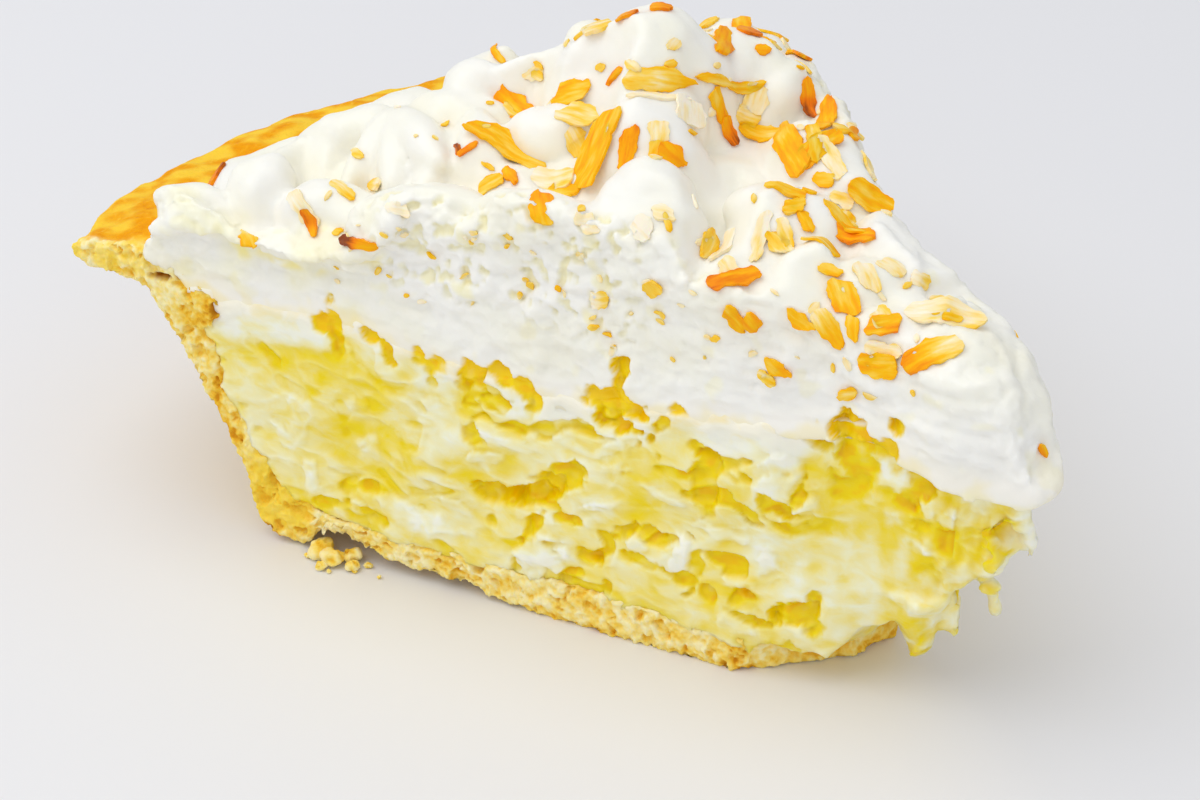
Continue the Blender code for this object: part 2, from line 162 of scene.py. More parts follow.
# %% Helpers that gather, skin and refine
def in_scene(name, data):
    made = bpy.data.objects.new(name, data)
    bpy.context.scene.collection.objects.link(made)
    return made


def gather(shapes):
    """One mesh that holds all the shapes, each still a closed piece of its own."""
    whole = bmesh.new()
    for shape in shapes:
        piece = bpy.data.meshes.new("piece")
        shape.to_mesh(piece)
        shape.free()
        whole.from_mesh(piece)
        bpy.data.meshes.remove(piece)
    return whole


def relax(bm, times=1):
    for _ in range(times):
        bmesh.ops.smooth_vert(bm, verts=bm.verts, factor=0.5, use_axis_x=True, use_axis_y=True,
                              use_axis_z=True)
    bm.normal_update()


def skin(shapes, voxel, smoothing=1):
    """One closed skin of even cells over all the shapes, which may overlap."""
    rough = gather(shapes)
    mesh = bpy.data.meshes.new("rough")
    rough.to_mesh(mesh)
    rough.free()
    holder = in_scene("rough", mesh)
    remesh = holder.modifiers.new("skin", "REMESH")
    remesh.mode = "VOXEL"
    remesh.voxel_size = voxel
    seen = holder.evaluated_get(bpy.context.evaluated_depsgraph_get())
    bm = bmesh.new()
    bm.from_mesh(seen.to_mesh())
    bpy.data.objects.remove(holder)
    bpy.data.meshes.remove(mesh)
    relax(bm, smoothing)
    return bm


def refine(bm, chosen, times=1):
    """Split each face whose middle is chosen into four."""
    for _ in range(times):
        middles = np.array([tuple(f.calc_center_median()) for f in bm.faces]).T
        picked = [f for f, yes in zip(bm.faces, chosen(*middles)) if yes]
        edges = list({e for f in picked for e in f.edges})
        bmesh.ops.subdivide_edges(bm, edges=edges, cuts=1, use_grid_fill=True)
    relax(bm)


# %% [markdown]
# A material has to know more than a corner's place, such as whether it lies in a hollow. `mark`
# stores such numbers on the mesh. `finish` scales the mesh, hangs it on the root and hides the
# packed layer that it stands for.

# %% Helpers that hand a mesh over to its material and to the frame
def mark(bm, **marks):
    """Store numbers for the corners under each name, which a material reads as an attribute."""
    for name, values in marks.items():
        layer = bm.verts.layers.float.new(name)
        for vert, value in zip(bm.verts, np.broadcast_to(values, len(bm.verts)).tolist()):
            vert[layer] = value


def finish(bm, name, look, node, scattered=False):
    """Turn a mesh worked in mm into a piece of the slice that stands for one packed layer."""
    if not scattered:
        bmesh.ops.recalc_face_normals(bm, faces=bm.faces)
        if bm.calc_volume(signed=True) < 0.0:
            bmesh.ops.reverse_faces(bm, faces=bm.faces)
    bm.transform(Matrix.Scale(MM, 4) @ Matrix.Translation(CENTRING))
    mesh = bpy.data.meshes.new(name)
    bm.to_mesh(mesh)
    bm.free()
    mesh.materials.append(look)
    mesh.shade_smooth()
    made = in_scene(name, mesh)
    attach(made, "root")
    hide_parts(node)
    mesh.calc_loop_triangles()
    print(f"{name}: {len(mesh.loop_triangles)} triangles")
    return made


# %% [markdown]
# A material is a small graph of nodes. One function adds a node with its settings, and one
# fills in a node's inputs with values or links. Colours are picked as sRGB hex values, as a
# colour picker shows them, and Blender wants them linear, so another function turns them.

# %% Helpers for materials
def linear(hex_colour):
    """An sRGB hex colour as linear red, green, blue and alpha."""
    parts = [int(hex_colour[k:k + 2], 16) / 255 for k in (1, 3, 5)]
    return tuple(c / 12.92 if c <= 0.04045 else ((c + 0.055) / 1.055) ** 2.4 for c in parts) + (1.0,)


def fill_in(tree, node, inputs):
    """Give each input a value, or link it to another node's output."""
    for name, value in inputs.items():
        if isinstance(value, bpy.types.NodeSocket):
            tree.links.new(value, node.inputs[name])
        else:
            node.inputs[name].default_value = value


def add(tree, kind, inputs=None, stops=(), **settings):
    """Add a node; stops are (position, sRGB hex colour) pairs for a colour ramp."""
    made = tree.nodes.new(kind)
    for name, value in settings.items():
        setattr(made, name, value)
    fill_in(tree, made, inputs or {})
    while stops and len(made.color_ramp.elements) < len(stops):
        made.color_ramp.elements.new(0.5)
    for element, (position, hex_colour) in zip(made.color_ramp.elements if stops else (), stops):
        element.position = position
        element.color = linear(hex_colour)
    return made


def new_material(name):
    made = bpy.data.materials.new(name)
    made.use_nodes = True
    return made, made.node_tree, made.node_tree.nodes["Principled BSDF"]


# %% [markdown]
# ## The camera
#
# The camera looks down at the slice from the front right, close enough for the rim to run away
# in perspective. Its place was solved from the rim's circle and the straight foot of the crust.

# %% Camera
# both in mm from the pie's middle
CAMERA_AT = Vector((163.3, -182.2, 189.5))
CAMERA_TO = Vector((-56.8, -7.7, 22.0))
camera = in_scene("camera", bpy.data.cameras.new("camera"))
camera.data.lens = 77.97
camera.data.sensor_width = 36.0
camera.data.clip_start = 0.01
camera.location = (CAMERA_AT + PIE_MIDDLE + Vector(CENTRING)) * MM
camera.rotation_euler = (CAMERA_TO - CAMERA_AT).to_track_quat("-Z", "Y").to_euler()
bpy.context.scene.camera = camera
print("camera in metres:", tuple(round(k, 4) for k in camera.location))


# %% [markdown]
# ## The wedge that the soft layers share
#
# Custard and cream fill the same wedge, and past the pie's middle both slump into a soft nose
# that leans to the far side. Between them runs a wavy line, the level that the custard set at.
# Both also share the small wanderings of the knife.

# %% The wedge, and the level between custard and cream
CUSTARD_NOSE = 4.6
LEVEL_RADII = [-6.0, 15.0, 35.0, 52.0, 68.0, 84.0, 104.0]
LEVEL_RISES = np.array([0.4, 2.4, -0.2, -2.3, -1.2, 1.3, 0.4])


def radius_at(x, y):
    return np.hypot(x - PIE_MIDDLE.x, y)


def wedge(r, across, nose, lean):
    """x, y and half width at a radius and -1 to 1 across; nose is the half width at the middle."""
    ahead = np.maximum(r, 0.0)
    half_width = np.hypot(ahead * SPREAD, nose)
    x = PIE_MIDDLE.x - np.minimum(r, 0.0) - ahead * np.cos(across * HALF_ANGLE)
    y = -half_width * np.sin(across * HALF_ANGLE) / SPREAD + lean
    return x, y, half_width


def custard_slump(r):
    return smoothstep(32.0, 8.0, r)


def custard_level(x, y, r):
    level = np.interp(r, LEVEL_RADII, LEVEL_RISES + CUSTARD_TOP)
    return level + 0.7 * lumps(x, y, 0.0, 14.0, 11)


def cut_wander(x, y, z):
    """How far the knife left the cut face standing out from straight."""
    return 0.9 * lumps(x, y, z, 9.0, 12) - 0.3


def face_place(x, y):
    """Distance from the pie's middle along the near cut face, and out of that face."""
    dx, dy = x - PIE_MIDDLE.x, y - PIE_MIDDLE.y
    return dx * NEAR_ALONG.x + dy * NEAR_ALONG.y, dx * NEAR_OUT.x + dy * NEAR_OUT.y


# %% [markdown]
# The knife tears the custard, and leaves hollows: rounded pits with a crisp upper lip where the
# custard was pulled away. The largest lie just under the cream, where the two layers let go of
# each other, and they cut into both. Each is an ellipse whose edge noise has worried: radius
# and height on the cut face, half length, half height, how far its end towards the point is
# raised in degrees, and depth.

# %% The hollows in the near cut face
HOLLOWS = [
    (60.5, 16.0, 3.0, 1.4, 5, 4.0), (56.5, 17.2, 3.5, 1.3, 10, 3.5), (52.5, 19.3, 3.0, 1.2, 35, 3.0),
    (50.0, 21.8, 2.2, 1.5, 20, 3.0), (55.0, 13.2, 2.6, 0.9, 55, 2.5), (51.0, 15.2, 2.0, 0.7, 0, 1.5),
    (81.5, 11.5, 1.6, 1.0, 30, 1.5), (79.0, 12.0, 1.6, 0.9, 0, 1.5), (63.3, 23.5, 1.6, 1.3, -30, 1.5),
    (84.6, 34.2, 1.1, 1.2, 0, 2.0), (82.3, 33.5, 1.0, 3.6, 0, 2.5), (77.3, 34.0, 1.5, 0.9, -15, 2.5),
    (75.3, 32.6, 1.7, 1.0, -60, 2.5), (70.3, 33.8, 1.0, 0.8, -30, 2.0), (68.3, 32.5, 2.0, 1.4, 0, 2.0),
    (69.0, 29.8, 0.7, 0.6, 0, 1.2), (63.6, 32.3, 1.6, 2.2, -10, 3.0), (59.0, 33.5, 1.6, 1.3, -20, 3.0),
    (56.3, 32.0, 2.3, 1.5, -35, 3.0), (55.0, 30.5, 1.1, 1.9, 0, 3.0), (60.3, 28.8, 2.0, 0.9, 0, 1.6),
    (93.0, 28.3, 2.6, 0.8, -50, 1.2), (84.5, 8.3, 2.4, 0.9, 20, 1.5), (78.5, 8.0, 2.2, 0.9, -20, 1.5),
    (43.4, 37.5, 0.9, 3.2, 0, 5.0), (43.9, 33.0, 3.4, 1.9, 0, 4.5), (44.0, 31.0, 3.0, 1.5, 0, 4.0),
    (36.4, 34.7, 1.2, 0.8, 0, 2.0), (38.3, 32.0, 2.4, 0.8, 58, 2.5), (48.8, 29.0, 1.8, 1.0, 0, 1.5),
    (32.6, 25.5, 1.6, 3.6, 0, 3.0), (36.8, 26.0, 2.2, 0.8, 0, 1.2), (23.5, 24.4, 2.4, 1.2, -25, 3.0),
    (20.9, 26.8, 2.0, 0.8, 70, 2.5), (15.3, 36.4, 2.5, 2.3, 0, 6.0), (15.0, 33.0, 2.7, 3.3, 0, 5.0),
    (15.3, 28.5, 1.9, 2.3, 0, 3.5), (11.5, 35.5, 1.7, 1.9, -45, 4.0), (10.0, 33.5, 0.9, 1.4, 0, 2.5),
    (9.3, 39.6, 1.1, 0.8, 25, 3.0), (6.3, 32.4, 1.6, 1.4, 0, 4.5), (7.8, 29.6, 1.8, 1.0, -60, 2.0),
    (15.0, 22.6, 4.0, 1.1, 0, 2.0), (11.0, 19.5, 1.1, 2.2, 0, 1.4), (5.0, 26.0, 2.5, 1.3, 0, 1.5),
    (3.0, 25.6, 1.5, 1.5, 0, 1.5), (5.0, 20.5, 1.4, 1.0, 0, 1.5), (42.5, 16.0, 1.8, 0.8, 35, 2.5),
    (39.0, 16.6, 2.6, 0.9, -8, 2.5), (41.0, 12.4, 2.2, 0.9, 0, 1.5), (48.0, 10.5, 1.7, 1.1, 20, 2.0),
    (50.0, 7.2, 1.8, 0.9, 45, 1.8), (34.8, 11.4, 2.6, 1.0, -10, 2.5), (32.0, 10.3, 1.7, 1.0, -45, 3.0),
    (33.3, 14.5, 1.0, 2.3, 0, 2.0), (28.2, 10.5, 1.9, 0.7, 55, 2.0), (21.0, 10.0, 2.6, 2.0, 10, 5.0),
    (18.8, 12.6, 1.1, 0.9, 40, 2.5),
]


def far_hollows(count, seed):
    """Hollows by a rule for the far cut face, more of them near the cream."""
    draw = np.random.default_rng(seed)
    for _ in range(count):
        yield (draw.uniform(10, 88), 8 + 27 * draw.uniform() ** 0.6, draw.uniform(1.0, 3.4),
               draw.uniform(0.7, 1.7), draw.uniform(-50, 50), draw.uniform(1.3, 3.6))


FAR_HOLLOWS = list(far_hollows(count=46, seed=12))
print("hollows:", len(HOLLOWS), "near,", len(FAR_HOLLOWS), "far")

# %% [markdown]
# Pale things stand a little proud of the torn face: shreds of coconut, and milky clots. They
# are listed like the hollows, with how far they stand out in place of a depth.

# %% The pale clots and shreds in the near cut face
CLOTS = [
    (61.5, 21.3, 2.3, 0.8, 10, 0.5), (56.0, 14.4, 6.2, 0.7, 5, 0.4), (72.0, 9.8, 5.6, 1.3, -5, 0.4),
    (53.5, 8.5, 3.0, 3.6, 10, 0.5), (78.0, 18.0, 1.5, 1.5, 0, 0.3), (74.0, 17.0, 1.1, 1.5, 0, 0.3),
    (87.0, 11.8, 1.1, 2.3, 0, 0.4), (82.0, 24.7, 2.3, 0.9, 0, 0.3), (79.5, 8.7, 1.9, 1.1, 10, 0.7),
    (41.7, 14.4, 1.7, 1.0, 10, 0.8), (35.5, 14.5, 0.9, 2.6, -10, 0.8), (23.8, 28.0, 2.1, 3.3, -15, 0.7),
    (20.5, 25.0, 1.6, 1.9, 20, 0.8), (15.8, 35.2, 1.8, 0.7, 10, 1.0), (9.8, 31.3, 1.5, 1.3, 0, 1.0),
    (11.3, 27.1, 2.5, 0.7, 0, 0.5), (5.5, 29.5, 0.9, 1.6, 0, 0.6), (2.8, 29.0, 1.4, 1.7, 0, 0.7),
    (24.0, 16.0, 2.3, 1.2, 0, 0.6), (18.4, 16.0, 2.3, 1.5, 0, 0.5), (3.2, 20.0, 1.2, 2.1, 0, 0.5),
    (28.0, 6.8, 1.9, 2.4, 0, 0.5), (60.0, 24.5, 5.5, 0.7, -6, 0.4), (47.5, 24.0, 4.5, 0.8, 12, 0.4),
    (69.5, 27.0, 4.0, 0.8, 0, 0.3), (88.0, 22.0, 1.6, 1.2, 20, 0.3), (66.0, 12.5, 2.6, 0.8, -20, 0.4),
    (46.0, 18.8, 3.6, 0.6, 25, 0.4), (30.5, 19.0, 4.2, 0.7, -8, 0.4), (38.0, 22.5, 3.4, 0.6, -18, 0.4),
    (28.0, 12.8, 1.4, 1.2, 0, 0.6), (12.5, 12.5, 3.0, 1.4, 10, 0.4), (45.0, 27.0, 2.6, 0.7, 40, 0.4),
    (7.5, 23.5, 3.2, 0.6, 0, 0.4), (90.5, 16.5, 1.2, 1.8, 30, 0.4), (71.0, 22.5, 1.8, 1.2, 15, 0.2),
]
print("clots and shreds:", len(CLOTS))

# %% [markdown]
# Each corner of a mesh asks how deep it lies in any of the listed ellipses, and the deepest one
# counts. A hollow's floor slopes down towards its upper lip, which keeps that lip crisp. The
# slice is narrow near its point, so nothing is pressed in by more than a share of its half width.

# %% Helpers for the hollows
# the shares of a listed depth or height that the skin is moved by
HOLLOW_SHARE = 0.38
CLOT_SHARE = 0.7
# the share of the half width that no place is pressed in past
DEEPEST_SHARE = 0.55


def hollow_depth(r, z, hollows, seed):
    worried = 0.75 * lumps(r, z, 0.0, 2.2, seed, octaves=3)
    uneven = 1.0 + 0.8 * lumps(r, z, 0.0, 2.0, seed + 20)
    deepest = np.zeros(np.shape(r))
    for centre_r, centre_z, length, height, tilt, depth in hollows:
        turned = math.radians(tilt)
        right, up = centre_r - r, z - centre_z
        a = (right * math.cos(turned) + up * math.sin(turned)) / length
        b = (up * math.cos(turned) - right * math.sin(turned)) / height
        edge = smoothstep(1.30, 0.74, np.hypot(a, b) + worried)
        deepest = np.maximum(deepest, depth * edge * uneven * np.clip(0.85 + 0.3 * b, 0.4, 1.1))
    return deepest


def press_in(x, y, depth_near, depth_far, half_width):
    """Move places inwards from the two cut faces, by no more than a share of the half width."""
    near = np.minimum(depth_near, DEEPEST_SHARE * half_width)
    far = np.minimum(depth_far, DEEPEST_SHARE * half_width)
    return x - (near + far) * NEAR_OUT.x, y - (near - far) * NEAR_OUT.y


def on_faces(x, y):
    """Distances along and out of the nearer cut face, and how far that is the near or far one."""
    near_along, near_out = face_place(x, y)
    far_along, far_out = face_place(x, -y)
    near = smoothstep(-2.6, -1.2, near_out) * (near_out >= far_out)
    far = smoothstep(-2.6, -1.2, far_out) * (near_out < far_out)
    return np.where(near >= far, near_along, far_along), np.maximum(near_out, far_out), near, far


# %% [markdown]
# ## The coconut custard
#
# Set custard with shredded coconut in it breaks into soft clumps. The block takes the wedge's
# form between the crust's wall and the slumped point. The wall is a section with a few key
# points, joined by Catmull-Rom curves, and the crust itself uses the same section later.

# %% The crust's inner wall, which the custard sets against
# at each key: radius and height of the inside, then of the outside
CRUST_KEYS = np.array([
    (22.0, 5.6, 22.0, 0.0), (60.0, 5.6, 60.0, 0.0), (80.0, 5.6, 82.0, 0.0), (86.5, 6.2, 90.0, 0.0),
    (90.3, 7.8, 95.2, 3.0), (93.6, 12.0, 97.6, 10.4), (97.8, 20.0, 102.3, 18.6),
    (100.7, 27.5, 105.6, 25.0), (103.0, 33.5, 108.6, 30.2), (105.5, 37.4, 111.3, 32.9),
    (109.5, 39.0, 113.8, 34.0), (116.0, 38.6, 117.5, 34.4), (120.3, 37.7, 120.6, 35.0),
])


def crust_section(t):
    """Inner r and z and outer r and z of the crust at key number t, on Catmull-Rom curves."""
    keys = np.vstack([2 * CRUST_KEYS[0] - CRUST_KEYS[1], CRUST_KEYS,
                      2 * CRUST_KEYS[-1] - CRUST_KEYS[-2]])
    whole = np.clip(np.floor(t).astype(int), 0, len(CRUST_KEYS) - 2)
    part = (t - whole)[..., None]
    a, b, c, d = (keys[whole + k] for k in range(4))
    bend = (2 * a - 5 * b + 4 * c - d) * part**2 + (3 * b - a - 3 * c + d) * part**3
    return np.moveaxis(0.5 * (2 * b + (c - a) * part + bend), -1, 0)


line_t = np.linspace(0.0, len(CRUST_KEYS) - 1.0, 600)
line_r, line_z, outer_r, outer_z = crust_section(line_t)
rising = (line_r > 80.0) & (line_r < 104.5)


def wall_radius(z):
    return np.interp(z, line_z[rising], line_r[rising])


print("crust section:", len(CRUST_KEYS), "keys, rim to radius", line_r.max())

# %% [markdown]
# The custard's point has slumped and broken back at the foot, so the radius where it ends grows
# downwards. Its outer end and its top run 1 to 2 mm into the crust and the cream. Two closed
# pieces that overlap leave no gap to see through.

# %% Shape the custard
TIP_HEIGHTS = [6.0, 8.0, 12.0, 14.5, 18.0, 20.0, CUSTARD_TOP]
TIP_RADII = [19.0, 14.0, 10.0, 6.5, 2.0, -1.5, -3.5]


def custard_place(u, v, w):
    across = 2.0 * v - 1.0
    rough_z = FLOOR_TOP + w * (CUSTARD_TOP - FLOOR_TOP)
    tip = np.interp(rough_z, TIP_HEIGHTS, TIP_RADII)
    tip = tip + 1.7 * lumps(across * 2.0, 0.0, rough_z, 3.6, 14, octaves=2)
    z = rough_z
    # the wall's radius depends on the height, and the height on the radius, so both are found twice
    for _ in range(2):
        lap = 0.9 + 1.3 * lumps(z, across, 0.0, 3.0, 15, octaves=3)
        r = tip + u * (wall_radius(z) + lap - tip)
        soft = custard_slump(r)
        nose = CUSTARD_NOSE * soft * np.sqrt(clamp((r - tip + 1.5) / 8.0))
        x, y, _ = wedge(r, across, nose, 4.0 * soft)
        bottom = FLOOR_TOP - 0.9 + 0.9 * lumps(r, across, 0.0, 4.0, 16, octaves=2)
        bottom = bottom + 2.3 * smoothstep(20.0, 9.0, r)
        ragged = lumps(r, across, 0.0, 2.2, 17, octaves=2) - 0.5
        bottom = bottom + 1.5 * smoothstep(34.0, 26.0, r) * ragged
        z = bottom + w * (custard_level(x, y, r) + 1.5 - bottom)
    side = np.abs(across) ** 8 * smoothstep(0.0, 0.25, w)
    y = y - np.sign(across) * side * cut_wander(x, y, z)
    x = x + smoothstep(0.03, 0.0, u) * 1.8 * lumps(x, y, z, 6.0, 13, octaves=2)
    return x, y, z


# %% [markdown]
# Drips hang at the point where the custard was pulled off the knife. Each is a drawn-out cone:
# its root and its tip from the pie's middle, its width, a sideways twist, and a seed for its
# ragged side. The skin welds them on.

# %% The drips, and the custard's skin
DRIPS = [
    ((-8.5, 0.5, 17.0), (-9.6, 4.0, 4.5), 9.5, 0.6, 31),
    ((-6.5, 3.5, 16.0), (-6.6, 5.5, 8.0), 6.0, -0.5, 32),
    ((-3.5, 4.0, 24.0), (-2.3, 9.0, 12.5), 3.6, 1.2, 33),
    ((-1.5, 6.0, 18.0), (-2.6, 10.0, 10.5), 2.4, 1.6, 34),
    ((3.4, 3.0, 35.0), (4.6, 6.0, 25.0), 3.6, 0.5, 35),
    ((1.5, 4.0, 34.0), (2.6, 7.5, 23.5), 3.4, -0.4, 36),
]


def drip(root, tip, width, twist, seed):
    root, tip = Vector(root), Vector(tip)
    bm = bmesh.new()
    bmesh.ops.create_cone(bm, cap_ends=True, segments=16, radius1=width / 2, radius2=width / 10,
                          depth=1.0)
    slice_across(bm, 2, 12, fill=False)
    x, y, z = corners(bm)
    ragged = 1.0 + 0.35 * lumps(x, y, 3.0 * z, 1.6, seed)
    x = x * ragged + twist * (z + 0.5) ** 2
    y = y * ragged * 0.75
    move_corners(bm, x, y, z * (tip - root).length)
    along = (tip - root).to_track_quat("Z", "Y").to_matrix().to_4x4()
    bm.transform(Matrix.Translation(PIE_MIDDLE + (root + tip) / 2) @ along)
    return bm


custard_bm = skin([block((190, 70, 62), custard_place)] + [drip(*keys) for keys in DRIPS],
                  voxel=0.6)
refine(custard_bm, lambda x, y, z: (face_place(x, y)[1] > -1.5) & (z > 6.5))
print("custard skin:", len(custard_bm.faces), "faces")

# %% [markdown]
# Now the torn surface. The knife drags the custard sideways, so its folds are drawn out along
# the face, and thin milky wisps stand on their crests. Between them the surface is torn open
# in small places. At the point it hangs down in strands instead. The folds' crests are also
# painted paler and their troughs yellower, as painted light and shade.

# %% The torn surface
TEAR_DEPTH = 0.7


def torn(along, out, z, seed):
    """How high the torn surface stands, how milky it is with painted light and shade, and where it tore.
    """
    bent_along = along + 2.2 * lumps(along, out, z, 7.0, seed)
    bent_z = z + 1.5 * lumps(along, out, z, 6.0, seed + 1)
    folds = lumps(bent_along / 1.5, out, bent_z, 3.6, seed + 2, octaves=3)
    ridges = np.abs(lumps(bent_along / 1.9, out, bent_z, 4.4, seed + 3, octaves=2))
    wisps = clamp(1.0 - 5.0 * ridges)
    clots = lumps(along / 1.4, out, z, 7.0, seed + 4)
    tears = smoothstep(0.30, 0.46, lumps(bent_along / 1.7, out, bent_z, 3.1, seed + 5, octaves=2))
    clouds = np.clip(1.6 * lumps(along / 1.3, out, z, 9.0, seed + 6, octaves=3), -0.6, 0.6)
    # milk is partly painted light and shade: the fold noise that raises the crests also pales them
    return 0.6 * clots + 0.42 * folds + 0.2 * wisps, 0.5 * folds + 0.3 * wisps + 0.7 * clouds, tears


# %% Tear the custard
x, y, z = corners(custard_bm)
nx, ny, nz = normals(custard_bm)
along, out, near, far = on_faces(x, y)
half_width = np.hypot(np.maximum(along, 0.0) * SPREAD, CUSTARD_NOSE * custard_slump(along))
deep_near = hollow_depth(along, z, HOLLOWS, seed=1) * near
deep_far = hollow_depth(along, z, FAR_HOLLOWS, seed=2) * far
proud = hollow_depth(along, z, CLOTS, seed=3) * near
height, milk_and_painted_light, tears = torn(along, out, z, seed=41)
strands = smoothstep(17.0, 7.0, along) * lumps(along, out, z / 3.5, 1.7, 50, octaves=2)
height, milk_and_painted_light = height + 0.6 * strands, milk_and_painted_light + 0.7 * strands
# towards the crust the custard held together better, so it tore open less
tears = tears * (0.35 + 0.65 * smoothstep(74.0, 58.0, along)) * np.maximum(near, far)
below_cream = custard_level(x, y, radius_at(x, y)) - z
frayed = below_cream + 1.3 * lumps(along, out, z, 3.0, 46, octaves=2)
x, y = press_in(x, y, HOLLOW_SHARE * deep_near + TEAR_DEPTH * tears * near - CLOT_SHARE * proud,
                HOLLOW_SHARE * deep_far + TEAR_DEPTH * tears * far, half_width)
relief = height * clamp(near + far + 0.5 * (along < 6.0)) * 0.85
# the relief dies out where the cream begins, in a lip along the frayed line, and sinks behind it
relief = relief * (0.15 + 0.85 * smoothstep(0.0, 4.0, below_cream))
relief += 0.2 * bell(frayed - 0.3, 0.9) - 0.6 * smoothstep(-0.3, -1.4, frayed)
move_corners(custard_bm, x + nx * relief, y + ny * relief, z + nz * relief * 0.5)

# %% [markdown]
# `tone` is kept for the material: it runs from 0 deep in a hollow, where light bounces about
# until it is strong yellow, to 1 on the palest clots. The custard is milky just under the
# cream, and where it hangs thin at the point. `joined` is 1 along the line where custard and
# cream meet, and its use comes with the materials.

# %% How pale the custard is
milky_top = smoothstep(5.5, 0.8, below_cream + 2.2 * lumps(along, out, z, 5.0, 48, octaves=2))
tone = 0.50 + 0.34 * milk_and_painted_light + 0.5 * np.clip(proud, 0.0, 0.6) + 0.45 * milky_top
tone = np.maximum(tone, 0.54 * smoothstep(8.0, 3.0, along) * smoothstep(25.0, 17.0, z))
tone = np.maximum(tone, 0.76 * smoothstep(12.0, 8.0, along) * smoothstep(9.5, 7.0, z))
# the tears are painted yellower too: painted shade, for the light that bounces about in them
tone = tone - 0.4 * tears - 0.07 * smoothstep(70.0, 84.0, along) * smoothstep(3.0, 8.0, below_cream)
in_hollow = clamp((deep_near + deep_far) / 1.5)
tone = tone + in_hollow * (0.12 + 0.24 * lumps(along, out, z, 1.8, 49, octaves=2) - tone)
mark(custard_bm, tone=clamp(tone), along=along * MM, out=out * MM, joined=bell(frayed + 0.6, 1.8))
print("custard tone: mean", tone.mean(), "in hollows:", in_hollow.mean())

# %% [markdown]
# ## The baked crust
#
# Shortcrust pastry is flour, fat and air: pale and crumbly inside, golden where the oven reached
# it. Its block runs along the section, around the pie and through the pastry's thickness. The
# rim was pinched by hand, so it waves. Under it a clump of pastry stands out of the cut, and
# near the point the floor has crumbled away.

# %% Shape the crust
def around(r, turn):
    return PIE_MIDDLE.x - r * np.cos(turn), -r * np.sin(turn)


def point_radius(turn):
    """Where the floor ends: nearer to the pie's middle on the far side than on the near side."""
    return 19.0 + 8.5 * clamp((turn + HALF_ANGLE) / (2 * HALF_ANGLE)) ** 3


def crust_place(u, v, w):
    # u goes along the section at an even pace, measured halfway through its thickness
    middle = np.hypot(np.diff((line_r + outer_r) / 2), np.diff((line_z + outer_z) / 2))
    walked = np.concatenate([[0.0], np.cumsum(middle)]) / middle.sum()
    in_r, in_z, out_r, out_z = crust_section(np.interp(u, walked, line_t))
    r = out_r + w * (in_r - out_r)
    z = out_z + w * (in_z - out_z)
    r = r + smoothstep(0.985, 1.0, u) * 1.3 * np.sin(np.pi * w)
    turn = (2.0 * v - 1.0) * HALF_ANGLE
    x, y = around(r, turn)
    rim = smoothstep(112.5, 115.0, r)
    outer = smoothstep(0.35, 0.1, w) * (z > 0.5)
    flare = 3.0 * smoothstep(20.0, 36.0, z) * smoothstep(HALF_ANGLE, 0.6 * HALF_ANGLE, turn)
    swell = flare + 1.4 * lumps(x, y, z, 24.0, 1) + 0.9 * lumps(x, y, z, 8.0, 2)
    r = r + np.maximum(outer, rim) * swell
    z = z + rim * (1.0 * lumps(x, y, 0.0, 16.0, 3) + 0.6 * lumps(x, y, 0.0, 6.0, 4))
    crumble = smoothstep(46.0, 22.0, r)
    r = r + crumble * (point_radius(turn) - 22.0 + 1.6 * lumps(x, y, z, 5.0, 5, octaves=2))
    clump = smoothstep(0.80 * HALF_ANGLE, 0.97 * HALF_ANGLE, turn) * bell(z - 33.2, 3.0)
    r = r - w * 3.8 * clump * (r < 106.0)
    x, y = around(r, turn)
    stands_out = 0.9 * clump * smoothstep(0.96 * HALF_ANGLE, HALF_ANGLE, turn) * w
    return x + stands_out * NEAR_OUT.x, y + stands_out * NEAR_OUT.y, np.maximum(z, 0.0)


crust_bm = skin([block((230, 90, 8), crust_place)], voxel=0.68, smoothing=0)
refine(crust_bm, lambda x, y, z: face_place(x, y)[1] > -1.2, times=2)
refine(crust_bm, lambda x, y, z: (radius_at(x, y) < 30.0) & (z > 0.4) & (face_place(x, y)[1] < -1.0))
print("crust skin:", len(crust_bm.faces), "faces")

# %% [markdown]
# Broken pastry is crumbs of two sizes, with pits between them, and baked pastry has soft
# blisters. The pits that show are listed like the custard's hollows. The first three lie under
# the rim and are scorched inside. Along part of the near cut the foot has broken off:
# `CHIPPED_FOOT` gives how high the break reaches at each distance along the face.

# %% Crumbs, pits and blisters on the crust
PITS = [
    (98.6, 33.0, 1.5, 1.1, 10, 2.5), (102.6, 35.6, 2.2, 0.7, -15, 1.8), (107.5, 35.6, 1.6, 0.6, 10, 1.5),
    (63.2, 4.9, 0.8, 2.0, 0, 2.5), (60.5, 6.8, 2.6, 0.6, 0, 2.0), (93.5, 8.0, 1.0, 4.0, -25, 1.4),
    (88.5, 5.0, 2.0, 0.8, -25, 1.4), (99.5, 24.0, 0.8, 1.6, -20, 1.2), (101.0, 29.0, 0.8, 1.2, 0, 1.2),
]
CHIPPED_FOOT = [(20, 0.0), (54, 0.0), (57, 0.3), (62, 0.7), (66, 1.9), (70, 2.0), (72, 1.5),
                (77, 2.3), (80, 2.9), (84, 4.2), (86.5, 3.2), (89, 0.4), (95, 0.0)]

